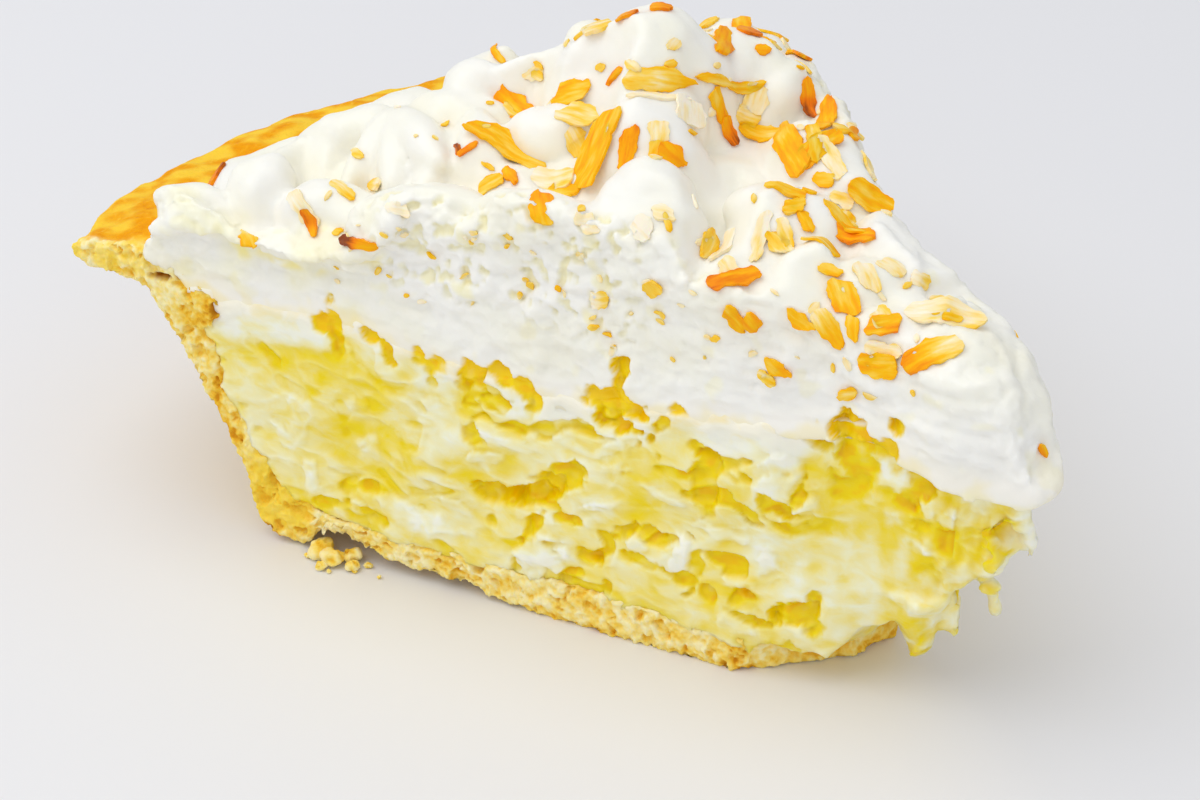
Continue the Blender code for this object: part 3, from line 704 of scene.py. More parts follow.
x, y, z = corners(crust_bm)
nx, ny, nz = normals(crust_bm)
along, out, near, far = on_faces(x, y)
near = near * smoothstep(0.1, 0.5, nx * NEAR_OUT.x + ny * NEAR_OUT.y)
far = far * smoothstep(0.1, 0.5, nx * NEAR_OUT.x - ny * NEAR_OUT.y)
r = radius_at(x, y)
worried = 1.0 + 0.5 * lumps(along, out, 0.0, 1.8, 7, octaves=3)
foot = read_off(CHIPPED_FOOT, along) * worried * smoothstep(-9.0, -1.5, out)
pitted = 0.6 * smoothstep(0.24, 0.44, lumps(along, out, z, 2.2, 8, octaves=3))
listed = hollow_depth(along, z, PITS, seed=4)
x, y = press_in(x, y, (pitted + listed) * near, pitted * far, r * SPREAD)
z = z + foot * smoothstep(6.5, 0.0, z) * (r < 96.0)
crumbs = 0.24 * lumps(x, y, z, 2.2, 51, octaves=2) + 0.34 * lumps(x, y, z, 0.9, 53, octaves=2)
blisters = lumps(x, y, z, 5.0, 52, octaves=3)
on_cut = np.maximum(near, far)
broken = np.maximum(on_cut, np.maximum(smoothstep(-2.2, -0.4, out), smoothstep(32.0, 28.5, r)))
relief = broken * crumbs + (1.0 - broken) * 0.4 * blisters
move_corners(crust_bm, x + nx * relief, y + ny * relief, np.maximum(z + nz * relief, 0.0))

# %% [markdown]
# The crust's marks: `cut` is 1 where the pale inside shows, `baked` on the browned rim,
# `buttery` on the yellow, fat-soaked foot and rim end, `burnt` in the scorched pits, and `tone`
# runs from 0, brown crumb, to 1, pale crumb. In the pits `tone` is lowered too, as painted shade.

# %% How the crust is coloured
baked = smoothstep(34.0, 37.0, z) * smoothstep(104.0, 108.0, r)
# painted shade: the pits are given a darker tone, as shade falls in them
deep = clamp(pitted / 1.2 + listed / 2.0) * near
golden = smoothstep(0.0, 0.4, lumps(x, y, z, 5.0, 54, octaves=2))
wall = smoothstep(88.0, 92.0, r) * smoothstep(106.0, 102.0, r)
tone = 0.68 + 0.50 * crumbs - 0.2 * golden - 0.34 * deep - 0.16 * smoothstep(2.5, 0.6, z) * broken
tone = tone - wall * (0.19 + 0.16 * golden)
tone = tone - 0.16 * smoothstep(32.0, 28.0, r) * smoothstep(-0.4, 0.3, blisters)
foot_end = smoothstep(86.0, 89.0, r) * smoothstep(99.0, 95.0, r)
foot_end = foot_end * smoothstep(1.5, 3.5, z) * smoothstep(15.0, 11.0, z)
rim_end = smoothstep(107.0, 112.0, r) * smoothstep(-0.3, 0.3, lumps(x, y, z, 3.0, 55))
burnt = hollow_depth(along, z, PITS[:3], seed=4) * near
mark(crust_bm, cut=broken, baked=clamp(baked), tone=clamp(tone),
     buttery=np.maximum(foot_end, 0.9 * rim_end), burnt=clamp(burnt))
print("crust tone: mean", tone.mean(), "broken:", broken.mean())

# %% [markdown]
# ## The whipped cream
#
# The cream was spooned on in dollops, so its top is a heap of round domes that meet in creases,
# with a few scoops taken out. Each dome is a place, a height, its half width along and across
# its heading at 3 mm below its top, and the heading in degrees. Whipped cream folds rather than
# piles, so noise bends the ground the domes stand on. The last two domes are the broad heap
# under all the others.

# %% Domes and scoops of the cream's top
DOMES = [
    (-92.5, -43.0, 48.4, 7.5, 3.2, 20), (-90.5, -34.2, 50.8, 4.2, 3.3, 0),
    (-91.5, -24.0, 51.5, 9.5, 4.2, 100), (-92.0, -12.5, 53.5, 6.0, 4.5, 70),
    (-82.0, -21.0, 53.8, 7.0, 2.6, -35), (-97.0, -6.0, 49.5, 8.0, 5.0, 75),
    (-76.0, -18.0, 55.0, 7.5, 4.0, -40), (-95.0, 2.0, 51.5, 9.0, 6.0, 80),
    (-78.5, -2.5, 61.5, 5.5, 3.8, 45), (-71.5, -14.5, 57.5, 7.0, 3.6, -30),
    (-62.0, 3.0, 71.0, 7.0, 6.5, 20), (-71.0, 4.0, 65.5, 6.0, 6.0, 0),
    (-59.0, 14.0, 65.0, 8.0, 6.0, 60), (-52.5, -3.5, 63.5, 6.0, 4.5, 0),
    (-41.0, -13.5, 61.0, 6.2, 5.6, -50), (-33.0, 1.0, 57.5, 6.5, 6.0, 0),
    (-37.5, 13.0, 59.0, 8.0, 6.0, 30), (-46.0, 21.0, 58.5, 8.0, 5.0, -25),
    (-22.0, 8.0, 56.0, 7.0, 5.0, -20), (-24.0, -3.5, 55.0, 5.0, 5.0, 0),
    (-14.0, -5.0, 54.0, 5.5, 5.0, 0), (-7.0, 3.0, 52.5, 7.0, 5.5, 0),
    (-1.0, 4.5, 49.5, 6.0, 5.5, 0), (-20.0, -12.0, 50.5, 6.0, 4.5, 25),
    (-30.0, -15.5, 53.0, 7.0, 4.5, 25), (-50.0, -21.0, 57.5, 9.0, 4.5, 25),
    (-64.0, -26.5, 55.0, 8.0, 4.0, 25), (-75.0, -30.0, 47.5, 8.0, 5.0, 25),
    (-78.0, 12.0, 61.0, 7.0, 6.0, 30), (-89.0, 14.0, 55.5, 7.0, 6.0, 90),
    (-100.0, 14.0, 50.0, 7.0, 6.0, 60), (-102.0, 29.0, 48.0, 7.5, 6.0, 80),
    (-91.0, 28.0, 54.0, 7.0, 6.0, 20), (-79.0, 27.0, 58.0, 7.5, 6.0, -20),
    (-68.0, 24.0, 61.0, 8.0, 5.5, -25), (-56.0, 23.0, 60.0, 7.0, 5.0, -25),
    (-94.0, 40.0, 50.0, 6.5, 5.0, -30), (-81.0, 36.0, 54.0, 8.0, 4.5, -25),
    (-60.0, 0.0, 56.0, 38.0, 17.0, 0), (-90.0, 0.0, 46.0, 40.0, 60.0, 0),
]
SCOOPS = [
    (-62.0, -12.0, 53.5, 5.6, 5.2, 0), (-84.5, -10.0, 54.8, 3.8, 3.2, -40),
    (-43.0, 1.0, 54.5, 9.0, 2.8, -50), (-86.5, -31.0, 45.8, 7.0, 3.0, -35),
    (-103.0, -35.6, 40.6, 6.0, 3.0, -38),
]
print("domes:", len(DOMES), "scoops:", len(SCOOPS))

# %% [markdown]
# The spoon also leaves long marks: creases where two folds meet, and crests where one was drawn
# up. Each is x and y of its two ends, its width, and its depth or height. Along both cuts the
# heap starts at an edge, given as (radius, height) pairs.

# %% Creases, crests and edges
CREASES = [
    (-84.0, -18.5, -79.5, -26.5, 1.0, 1.8), (-83.5, -18.0, -74.5, -24.5, 1.0, 1.7),
    (-82.5, -17.0, -70.0, -20.5, 1.1, 1.6), (-42.0, -2.5, -33.0, -9.0, 1.5, 2.2),
    (-34.5, -8.0, -31.0, -15.0, 1.3, 1.8), (-70.5, -9.0, -66.0, -2.5, 1.2, 1.2),
    (-78.0, -7.0, -72.5, -10.5, 1.0, 1.6), (-90.0, -33.0, -82.5, -27.5, 1.3, 1.3),
    (-88.5, -33.0, -84.5, -36.5, 1.2, 1.2), (-71.0, 0.0, -64.5, -2.5, 1.4, 1.6),
    (-66.0, 4.0, -60.0, 5.5, 1.4, 1.4), (-45.5, -13.0, -40.5, -18.0, 1.4, 1.4),
    (-41.0, -5.5, -36.5, -11.0, 1.4, 1.5), (-46.5, 1.0, -37.0, -7.5, 3.2, 1.8),
    (-36.0, 2.5, -36.5, -4.0, 1.3, 1.2), (-42.0, 9.5, -37.5, 4.0, 1.6, 1.4),
    (-24.0, 2.0, -19.0, -6.0, 1.3, 1.0), (-28.0, -8.0, -24.0, -10.5, 1.4, 1.0),
    (-60.0, -14.0, -52.0, -14.5, 1.4, 1.0), (-88.0, -9.0, -80.0, 1.0, 1.4, 1.4),
    (-10.0, -3.0, -4.0, 1.0, 1.3, 0.9), (-16.0, 6.0, -10.0, 9.0, 1.3, 1.0),
]
CRESTS = [
    (-79.5, -6.5, -71.0, -1.0, 1.5, 3.2), (-35.5, 2.0, -32.0, -6.5, 1.2, 1.8),
    (-51.0, 14.5, -41.0, 11.5, 2.2, 2.2), (-86.5, -15.5, -96.0, -8.0, 2.0, 1.6),
    (-66.0, -16.0, -59.0, -16.5, 1.3, 1.3), (-55.5, -13.5, -52.0, -4.5, 1.6, 1.4),
    (-27.0, 2.5, -22.0, -4.0, 1.4, 1.3), (-12.0, 4.5, -4.0, 4.0, 1.6, 1.0),
]
NEAR_EDGE = [(-7, 40), (0, 44.5), (8, 46), (14, 44), (21, 47), (29, 50), (36, 53), (46, 53),
             (56, 55.5), (66, 53), (75, 48.5), (82, 46.0), (96, 45.5), (105, 45.0)]
FAR_EDGE = [(-7, 39), (0, 43), (15, 48), (33, 52), (51, 56), (70, 54.5), (88, 50), (100, 45), (108, 42)]


def bowl(x, y, centre_x, centre_y, along, across, heading, firmness=1.0):
    """Height of a bowl's side over its lowest point, 3 mm at the two half widths."""
    turned = math.radians(heading)
    dx, dy = x - PIE_MIDDLE.x - centre_x, y - centre_y
    forward = (dx * math.cos(turned) + dy * math.sin(turned)) / along
    sideways = (dy * math.cos(turned) - dx * math.sin(turned)) / across
    return 3.0 * (forward**2 + sideways**2) ** firmness


def cream_top(x, y):
    bent_x = x + 1.3 * lumps(x, y, 0.0, 7.0, 61) + 0.6 * lumps(x, y, 0.0, 3.0, 62)
    bent_y = y + 1.3 * lumps(x, y, 0.0, 7.0, 63) + 0.6 * lumps(x, y, 0.0, 3.0, 64)
    top = np.full(np.shape(x), 40.0)
    for cx, cy, height, along, across, heading in DOMES:
        # small domes have steeper sides than the broad heap
        firmness = 1.3 if across < 10.0 else 1.0
        top = np.maximum(top, height - bowl(bent_x, bent_y, cx, cy, along, across, heading, firmness))
    for cx, cy, height, along, across, heading in SCOOPS:
        top = np.minimum(top, height + bowl(bent_x, bent_y, cx, cy, along, across, heading))
    for x1, y1, x2, y2, width, depth in CREASES + [(*crest[:5], -crest[5]) for crest in CRESTS]:
        dx, dy = bent_x - PIE_MIDDLE.x - x1, bent_y - y1
        length = math.hypot(x2 - x1, y2 - y1)
        along = (dx * (x2 - x1) + dy * (y2 - y1)) / length
        aside = (dy * (x2 - x1) - dx * (y2 - y1)) / length
        ends = smoothstep(-2.0, 2.5, along) * smoothstep(length + 2.0, length - 2.5, along)
        top = top - depth * ends * np.exp(-np.abs(aside / width) ** 1.5)
    return top


# %% [markdown]
# A height can't hang over or meet its neighbour in a crisp crease, so the dollops that show most
# are egg shapes that the skin welds on: middle, half sizes along, across and up, heading, and
# rise in degrees. Noise dents each, as cream that slid off a spoon is dented.

# %% Dollops
DOLLOPS = [
    (-94.5, -42.6, 45.0, 5.6, 3.2, 3.2, 25, 0), (-89.6, -34.2, 47.5, 3.5, 3.3, 3.8, 0, 0),
    (-78.6, -31.2, 46.0, 8.6, 4.3, 4.9, 27, 0), (-90.8, -21.5, 50.3, 8.5, 3.4, 3.0, 30, 26),
    (-83.2, -22.8, 51.0, 6.5, 2.3, 2.6, 105, 30), (-79.2, -22.0, 52.0, 7.5, 2.2, 2.4, 142, 16),
    (-77.4, -19.6, 54.0, 8.0, 2.6, 2.4, 165, 0), (-81.4, -8.0, 55.4, 4.0, 3.8, 4.8, 52, 0),
    (-79.0, -12.0, 53.4, 7.0, 4.4, 4.0, 30, 0), (-97.5, -7.0, 45.2, 7.0, 5.5, 4.2, 75, 0),
    (-90.0, 1.0, 51.0, 7.0, 6.0, 4.2, 75, 0), (-65.0, -8.6, 55.4, 5.6, 4.4, 4.4, 40, 0),
    (-61.0, 4.0, 63.4, 6.6, 4.6, 6.8, 52, 0), (-52.6, 0.6, 58.4, 3.6, 3.4, 5.0, 52, 0),
    (-43.6, -10.4, 56.0, 4.8, 4.4, 5.2, 52, 0), (-35.4, 0.1, 53.4, 4.8, 4.0, 4.4, 40, 0),
    (-30.0, -9.0, 50.0, 5.0, 3.6, 3.6, 30, 0), (-41.0, 11.0, 54.4, 5.0, 5.5, 5.0, 50, 0),
    (-20.0, 1.0, 50.0, 5.4, 4.2, 4.0, 60, 0), (-13.0, -0.5, 46.6, 6.0, 4.4, 4.4, 30, 0),
    (-54.0, 17.0, 57.0, 6.5, 5.0, 5.0, 60, 0), (-72.5, 5.0, 59.6, 5.5, 5.0, 5.0, 50, 0),
    (-89.2, 2.0, 53.4, 2.2, 1.6, 3.2, 60, 0),
]


def dollop(centre_x, centre_y, centre_z, along, across, up, heading, rise):
    bm = bmesh.new()
    bmesh.ops.create_icosphere(bm, subdivisions=4, radius=1.0)
    x, y, z = corners(bm) * np.array([[along], [across], [up]])
    swell = 1.0 + 0.16 * lumps(x + centre_x, y + centre_y, z, 5.0, 26, octaves=2)
    move_corners(bm, x * swell, y * swell, z * swell)
    bm.transform(Matrix.Translation(PIE_MIDDLE + Vector((centre_x, centre_y, centre_z)))
                 @ Matrix.Rotation(math.radians(heading), 4, "Z")
                 @ Matrix.Rotation(-math.radians(rise), 4, "Y"))
    return bm


# %% [markdown]
# The block's top is the lower of the heap and four rounded limits, one from each cut, one from
# the point and one from the rim. Its bottom follows the custard's level and hangs a little over
# it along the cuts. Near the rim a lobe of cream bulges out of the near cut: `LOBE_FOOT` gives
# the height of its lower side at each distance along the face.

# %% Shape the cream
CREAM_TIP = -5.6
CREAM_NOSE = 7.1
LOBE_FOOT = [(60, 90.0), (72, 50.0), (76, 46.0), (85, 43.5), (97, 44.0), (104, 43.0), (111, 40.0)]


def rounded(distance, radius):
    """Height over an edge that is rounded off by a radius, and sloped beyond it."""
    inward = clamp(distance / radius)
    return radius * np.sqrt(1.0 - (1.0 - inward) ** 2) + 1.5 * np.maximum(distance - radius, 0.0)


def cream_bottom(x, y, r, across):
    level = custard_level(x, y, r)
    on_wall = np.maximum(level, np.interp(r, line_r, line_z))
    hanging = 1.6 * clamp(lumps(x, y, 0.0, 5.0, 24, octaves=2) + 0.2) * np.abs(across) ** 6
    return np.where(r > 92.0, on_wall, level) - 0.9 - hanging


def cream_limit(r, across, edge, half_width):
    near = read_off(NEAR_EDGE, r) + rounded((1.0 - across) * half_width, 5.0)
    far = read_off(FAR_EDGE, r) + rounded((1.0 + across) * half_width, 5.0)
    end = 38.5 + rounded(r - CREAM_TIP, 13.0)
    rim = RIM_HEIGHT + 0.6 + (0.46 + 0.4 * smoothstep(0.3, 0.75, across)) * rounded(edge - r, 14.0)
    return np.minimum(np.minimum(near, far), np.minimum(end, rim))


def cream_place(u, v, w):
    across = 2.0 * v - 1.0
    edge = CREAM_EDGE_RADIUS + 1.6 * np.sin(across * 9.0) - 4.0 * smoothstep(0.75, 1.0, across)
    r = CREAM_TIP + u * (edge - CREAM_TIP)
    soft = smoothstep(34.0, 6.0, r)
    nose = CREAM_NOSE * soft * np.sqrt(clamp((r - CREAM_TIP + 1.5) / 10.0))
    x, y, half_width = wedge(r, across, nose, 3.6 * soft)
    bottom = cream_bottom(x, y, r, across)
    top = np.minimum(cream_top(x, y), cream_limit(r, across, edge, half_width))
    z = bottom + w * (np.maximum(top, bottom + 1.0) - bottom)
    side = np.abs(across) ** 8 * smoothstep(1.0, 0.7, w)
    y = y - np.sign(across) * side * cut_wander(x, y, z)
    # both ends of the block are rounded: the nose at the point, and the edge on the rim
    round_end = np.sin(np.pi * w) ** 0.5
    x = x + smoothstep(0.03, 0.0, u) * (1.8 + 1.2 * lumps(x, y, z, 5.0, 23)) * round_end
    out = smoothstep(0.985, 1.0, u) * 1.6 * round_end
    x = x - out * np.cos(across * HALF_ANGLE)
    y = y - out * np.sin(across * HALF_ANGLE)
    along, _ = face_place(x, y)
    over_foot = z - (read_off(LOBE_FOOT, along) + 0.8 * lumps(along, 0.0, 0.0, 6.0, 22))
    bulge = 2.1 * smoothstep(-0.4, 0.7, over_foot) * (1.0 - smoothstep(5.0, 9.0, over_foot))
    pushed = clamp(across) ** 3 * bulge
    return x + pushed * NEAR_OUT.x, y + pushed * NEAR_OUT.y, z


cream_bm = skin([block((210, 120, 40), cream_place)] + [dollop(*place) for place in DOLLOPS],
                voxel=0.61)
refine(cream_bm, lambda x, y, z: face_place(x, y)[1] > -1.5)
print("cream skin:", len(cream_bm.faces), "faces")

# %% [markdown]
# The cut through whipped cream shows its air: small pits, most of them in the upper middle,
# knife streaks along the face, and dents like those in dough. Towards the rim, at the left end,
# the relief is stronger. The custard's larger hollows and clots reach up into the cream. Above
# the cut only soft folds are left.

# %% Fine relief on the cream
x, y, z = corners(cream_bm)
nx, ny, nz = normals(cream_bm)
along, out, near, far = on_faces(x, y)
on_cut = np.maximum(near, far)
half_width = np.hypot(np.maximum(along, 0.0) * SPREAD, 6.0 * smoothstep(34.0, 6.0, along))
deep_near = hollow_depth(along, z, HOLLOWS, seed=1) * near * smoothstep(43.5, 41.0, z)
deep_far = hollow_depth(along, z, FAR_HOLLOWS, seed=2) * far * smoothstep(43.0, 38.0, z)
proud = hollow_depth(along, z, CLOTS, seed=3) * near
porous = smoothstep(80.0, 72.0, along) * smoothstep(38.0, 45.0, along) * smoothstep(40.0, 44.0, z)
left_end = smoothstep(72.0, 80.0, along)
pits = smoothstep(0.10, 0.50, lumps(x, y, z, 1.7, 72, octaves=2)) * (0.22 + 0.78 * porous)
x, y = press_in(x, y, HOLLOW_SHARE * deep_near - CLOT_SHARE * proud, HOLLOW_SHARE * deep_far,
                half_width)
streaks = lumps(along / 4.0, out, z, 1.6, 71, octaves=2)
dough = lumps(along / 1.2, out, z, 3.4, 75, octaves=3)
soft_dents = lumps(along / 1.5, out, z, 6.0, 77)
folds = np.abs(lumps(x, y, z, 9.0, 73)) + 0.35 * np.abs(lumps(x, y, z, 4.0, 76))
above = z - custard_level(x, y, radius_at(x, y))
relief = on_cut * (0.26 * streaks + (0.55 + 0.37 * porous + 0.15 * left_end) * dough
                   + (0.65 + 0.3 * left_end) * soft_dents - 0.55 * pits)
relief = relief * (0.15 + 0.85 * smoothstep(0.0, 4.0, above))
relief += (1.0 - on_cut) * (0.8 * folds - 0.1)
move_corners(cream_bm, x + nx * relief, y + ny * relief, z + nz * relief)

# %% [markdown]
# On the cut the knife has smeared custard over the cream, just over the custard and in loose
# patches. Painted shade tints it yellow-grey in the shade under the lobe, in the pits, and at the
# left end, where the lobes hang over. One mark adds up the smears and the painted shade. `hollow`
# is 1 in the hollows, which are painted deep yellow for the light that bounces about in them, as
# in the custard, and `joined` follows the same frayed line as the custard's.

# %% How yellow the cream is
clouded = above + 2.6 * lumps(along, out, z, 4.0, 78, octaves=3) + 1.2 * smoothstep(10.0, 0.0, along)
yellow_smear_and_shade = 0.36 * smoothstep(2.0, -0.6, clouded)
yellow_smear_and_shade += 0.35 * smoothstep(0.35, 0.60, lumps(along, out, z, 4.0, 79, octaves=2)) * (0.5 + 0.5 * porous)
# painted shade: a yellow-grey band in the shade under the overhanging lobe
under = read_off(LOBE_FOOT, along) - 1.0 - z
painted_shade_band = smoothstep(-0.8, 0.0, under) * smoothstep(2.4, 0.8, under)
painted_shade_band = painted_shade_band * smoothstep(73.0, 78.0, along) * smoothstep(99.0, 94.0, along)
yellow_smear_and_shade += 0.7 * painted_shade_band * smoothstep(-0.25, 0.35, lumps(along, out, z, 3.0, 80, octaves=2))
# painted shade: the porous part's pits are tinted yellow-grey, as shade in them
yellow_smear_and_shade += 0.4 * pits * porous
# painted shade: yellow-grey patches at the left end, under the overhanging lobes
yellow_smear_and_shade += 0.24 * left_end * smoothstep(-0.2, 0.5, lumps(along, out, z, 6.0, 81))
frayed = 1.3 * lumps(along, out, z, 3.0, 46, octaves=2) - above
# the hollows are painted deep yellow: painted light, bouncing about in them as in the custard
mark(cream_bm, hollow=clamp((deep_near + deep_far) / 1.3), stain=clamp(on_cut * yellow_smear_and_shade),
     joined=bell(frayed + 0.6, 1.8))
print("cream stain: mean", yellow_smear_and_shade.mean(), "porous:", porous.mean())

# %% [markdown]
# ## The looks of the three layers
#
# Cream and custard are soft and milky: light goes about a millimetre in and comes out again, so
# both get subsurface scattering, with red light going a little further than blue. Where the two
# pieces meet, the light that would go on into the other piece is lost, and a grey line would
# show. So the scattering fades out along that line, which `joined` marks.
#
# A noise node's scale is lumps per metre, because the meshes are in metres: 1000 divided by the
# lump's size in mm.

# %% Whipped cream
# Fresh cream, sweetened and whipped to a foam of fat and air, then spooned and cut. Its bubbles
# send back nearly all light, so it is a warm white with a satin sheen. Its refractive index
# lies between water, 1.33, and butterfat, 1.46. Thicker and thinner cream makes patches 11 mm
# wide, scale 90. The bubbles are under 0.1 mm, too fine to show, and are drawn as grains of
# 1.1 mm, scale 900.
cream_look, tree, shader = new_material("whipped cream, sweetened")
where = add(tree, "ShaderNodeTexCoord").outputs["Object"]
hollow, stain, joined = (add(tree, "ShaderNodeAttribute", attribute_name=name).outputs["Fac"]
                         for name in ("hollow", "stain", "joined"))
patches = add(tree, "ShaderNodeTexNoise", {"Vector": where, "Scale": 90.0, "Detail": 3.0})
body = add(tree, "ShaderNodeValToRGB", {"Fac": patches.outputs["Fac"]},
           stops=[(0.32, "#f9f4e4"), (0.62, "#fcf9f0")]).outputs["Color"]
# first mix: smeared custard and painted shade; second: hollows painted deep yellow as bounced light
for share, smear in ((stain, "#feeb92"), (hollow, "#ffd908")):
    body = add(tree, "ShaderNodeMix", {"Factor": share, "A": body, "B": linear(smear)},
               data_type="RGBA").outputs["Result"]
bubbles = add(tree, "ShaderNodeTexNoise", {"Vector": where, "Scale": 900.0, "Detail": 2.0})
relief = add(tree, "ShaderNodeBump", {"Height": bubbles.outputs["Fac"], "Strength": 0.25,
                                      "Distance": 0.0002})
milky = add(tree, "ShaderNodeMapRange", {"Value": joined, "To Min": 0.6, "To Max": 0.0})
fill_in(tree, shader, {
    "Base Color": body, "Normal": relief.outputs["Normal"], "Roughness": 0.35, "IOR": 1.38,
    "Subsurface Weight": milky.outputs["Result"], "Subsurface Radius": (1.0, 0.97, 0.92),
    "Subsurface Scale": 0.0009})

# %% Coconut custard
# Milk, egg yolk and shredded coconut, thickened on the stove, set cold and torn by the knife.
# The yolk soaks up blue light, which leaves yellow, and the wet gel glints. Its index of 1.4 is
# that of a sugary gel. Torn wisps are 2.4 mm high, scale 420, and drawn out to 3.7 mm along the
# face. The gel's own grain is too fine to show, and is drawn at 1.1 mm, scale 900.
custard_look, tree, shader = new_material("coconut custard, set with egg yolk")
place = add(tree, "ShaderNodeSeparateXYZ", {"Vector": add(tree, "ShaderNodeTexCoord").outputs["Object"]})
along, out, tone, joined = (add(tree, "ShaderNodeAttribute", attribute_name=name).outputs["Fac"]
                            for name in ("along", "out", "tone", "joined"))
dragged = add(tree, "ShaderNodeMath", {0: along, 1: 0.65}, operation="MULTIPLY")
on_face = add(tree, "ShaderNodeCombineXYZ",
              {"X": dragged.outputs[0], "Y": out, "Z": place.outputs["Z"]}).outputs[0]
wisps = add(tree, "ShaderNodeTexNoise", {"Vector": on_face, "Scale": 420.0, "Detail": 4.0,
                                         "Distortion": 0.6})
uneven = add(tree, "ShaderNodeMapRange", {"Value": wisps.outputs["Fac"], "From Min": 0.3,
                                          "From Max": 0.7, "To Min": -0.16, "To Max": 0.16})
whole = add(tree, "ShaderNodeMath", {0: tone, 1: uneven.outputs["Result"]}, operation="ADD")
body = add(tree, "ShaderNodeValToRGB", {"Fac": whole.outputs[0]},
           stops=[(0.0, "#ffcc00"), (0.12, "#ffda00"), (0.22, "#ffdd10"), (0.36, "#fee057"),
                  (0.52, "#fee791"), (0.70, "#feefbe"), (0.95, "#fef9e6")]).outputs["Color"]
grain = add(tree, "ShaderNodeTexNoise", {"Vector": on_face, "Scale": 900.0, "Detail": 3.0})
relief = add(tree, "ShaderNodeBump", {"Height": grain.outputs["Fac"], "Strength": 0.4,
                                      "Distance": 0.0003})
milky = add(tree, "ShaderNodeMapRange", {"Value": joined, "To Min": 0.9, "To Max": 0.0})
fill_in(tree, shader, {
    "Base Color": body, "Normal": relief.outputs["Normal"], "Roughness": 0.3, "IOR": 1.4,
    "Specular IOR Level": 0.35, "Subsurface Weight": milky.outputs["Result"],
    "Subsurface Radius": (1.0, 0.96, 0.8), "Subsurface Scale": 0.0008})

# %% Baked shortcrust
# Flour, butter and water, rolled out, pressed into a tin and baked. It is dry, so it is matt and
# has hardly any gloss. The rim browned to gold, the wall stayed straw yellow, and the broken
# inside is pale crumb. It browned in patches 3 mm wide, scale 320. Flour grains are too fine to
# show, and are drawn as crumbs of 1.1 mm, scale 900.
crust_look, tree, shader = new_material("shortcrust pastry, baked")
where = add(tree, "ShaderNodeTexCoord").outputs["Object"]
cut, baked, tone, buttery, burnt = (
    add(tree, "ShaderNodeAttribute", attribute_name=name).outputs["Fac"]
    for name in ("cut", "baked", "tone", "buttery", "burnt"))
patches = add(tree, "ShaderNodeTexNoise", {"Vector": where, "Scale": 320.0, "Detail": 5.0})
grains = add(tree, "ShaderNodeTexNoise", {"Vector": where, "Scale": 900.0, "Detail": 3.0})
uneven = add(tree, "ShaderNodeMapRange", {"Value": grains.outputs["Fac"], "From Min": 0.3,
                                          "From Max": 0.7, "To Min": -0.22, "To Max": 0.22})
blend = add(tree, "ShaderNodeMath", {0: tone, 1: uneven.outputs["Result"]}, operation="ADD")
crumb_colour, browned, whole = (
    add(tree, "ShaderNodeValToRGB", {"Fac": factor}, stops=stops).outputs["Color"]
    for factor, stops in (
        (blend.outputs[0], [(0.05, "#d9951a"), (0.22, "#f2bd34"), (0.40, "#fbd65e"),
                            (0.58, "#fde48a"), (0.82, "#fef1bb")]),
        (grains.outputs["Fac"], [(0.30, "#e99400"), (0.45, "#f09e02"), (0.58, "#f3a508"),
                                 (0.74, "#f9bc34")]),
        (patches.outputs["Fac"], [(0.35, "#ebb848"), (0.55, "#f2ca66"), (0.70, "#f4d47e")])))
rich = add(tree, "ShaderNodeMath", {0: buttery, 1: 0.8}, operation="MULTIPLY").outputs[0]
for share, colour in ((baked, browned), (cut, crumb_colour), (rich, linear("#ffdb46")),
                      (burnt, linear("#a3620c"))):
    whole = add(tree, "ShaderNodeMix", {"Factor": share, "A": whole, "B": colour},
                data_type="RGBA").outputs["Result"]
relief = add(tree, "ShaderNodeBump", {"Height": grains.outputs["Fac"], "Strength": 0.7,
                                      "Distance": 0.0005})
fill_in(tree, shader, {
    "Base Color": whole, "Normal": relief.outputs["Normal"], "Roughness": 0.7,
    "Specular IOR Level": 0.08, "Subsurface Weight": 0.2, "Subsurface Radius": (1.0, 0.7, 0.4),
    "Subsurface Scale": 0.001})

# %% The three layers as pieces
cream_surface = BVHTree.FromBMesh(cream_bm)
finish(crust_bm, "pastry_shell", crust_look, "crust")
finish(custard_bm, "custard_filling", custard_look, "custard")
finish(cream_bm, "whipped_cream", cream_look, "cream")

# %% [markdown]
# ## Toasted coconut
#
# Shaved coconut is thin, flat and uneven, and toasts from its ends: some pieces are golden at
# one end and still pale at the other. The ones that catch the eye are listed: x, y, z from the
# pie's middle, heading and rise of the length in degrees, length, width at the start, middle
# and end, sideways bow, and tone at the start and end, from 0, pale, to 1, brown.

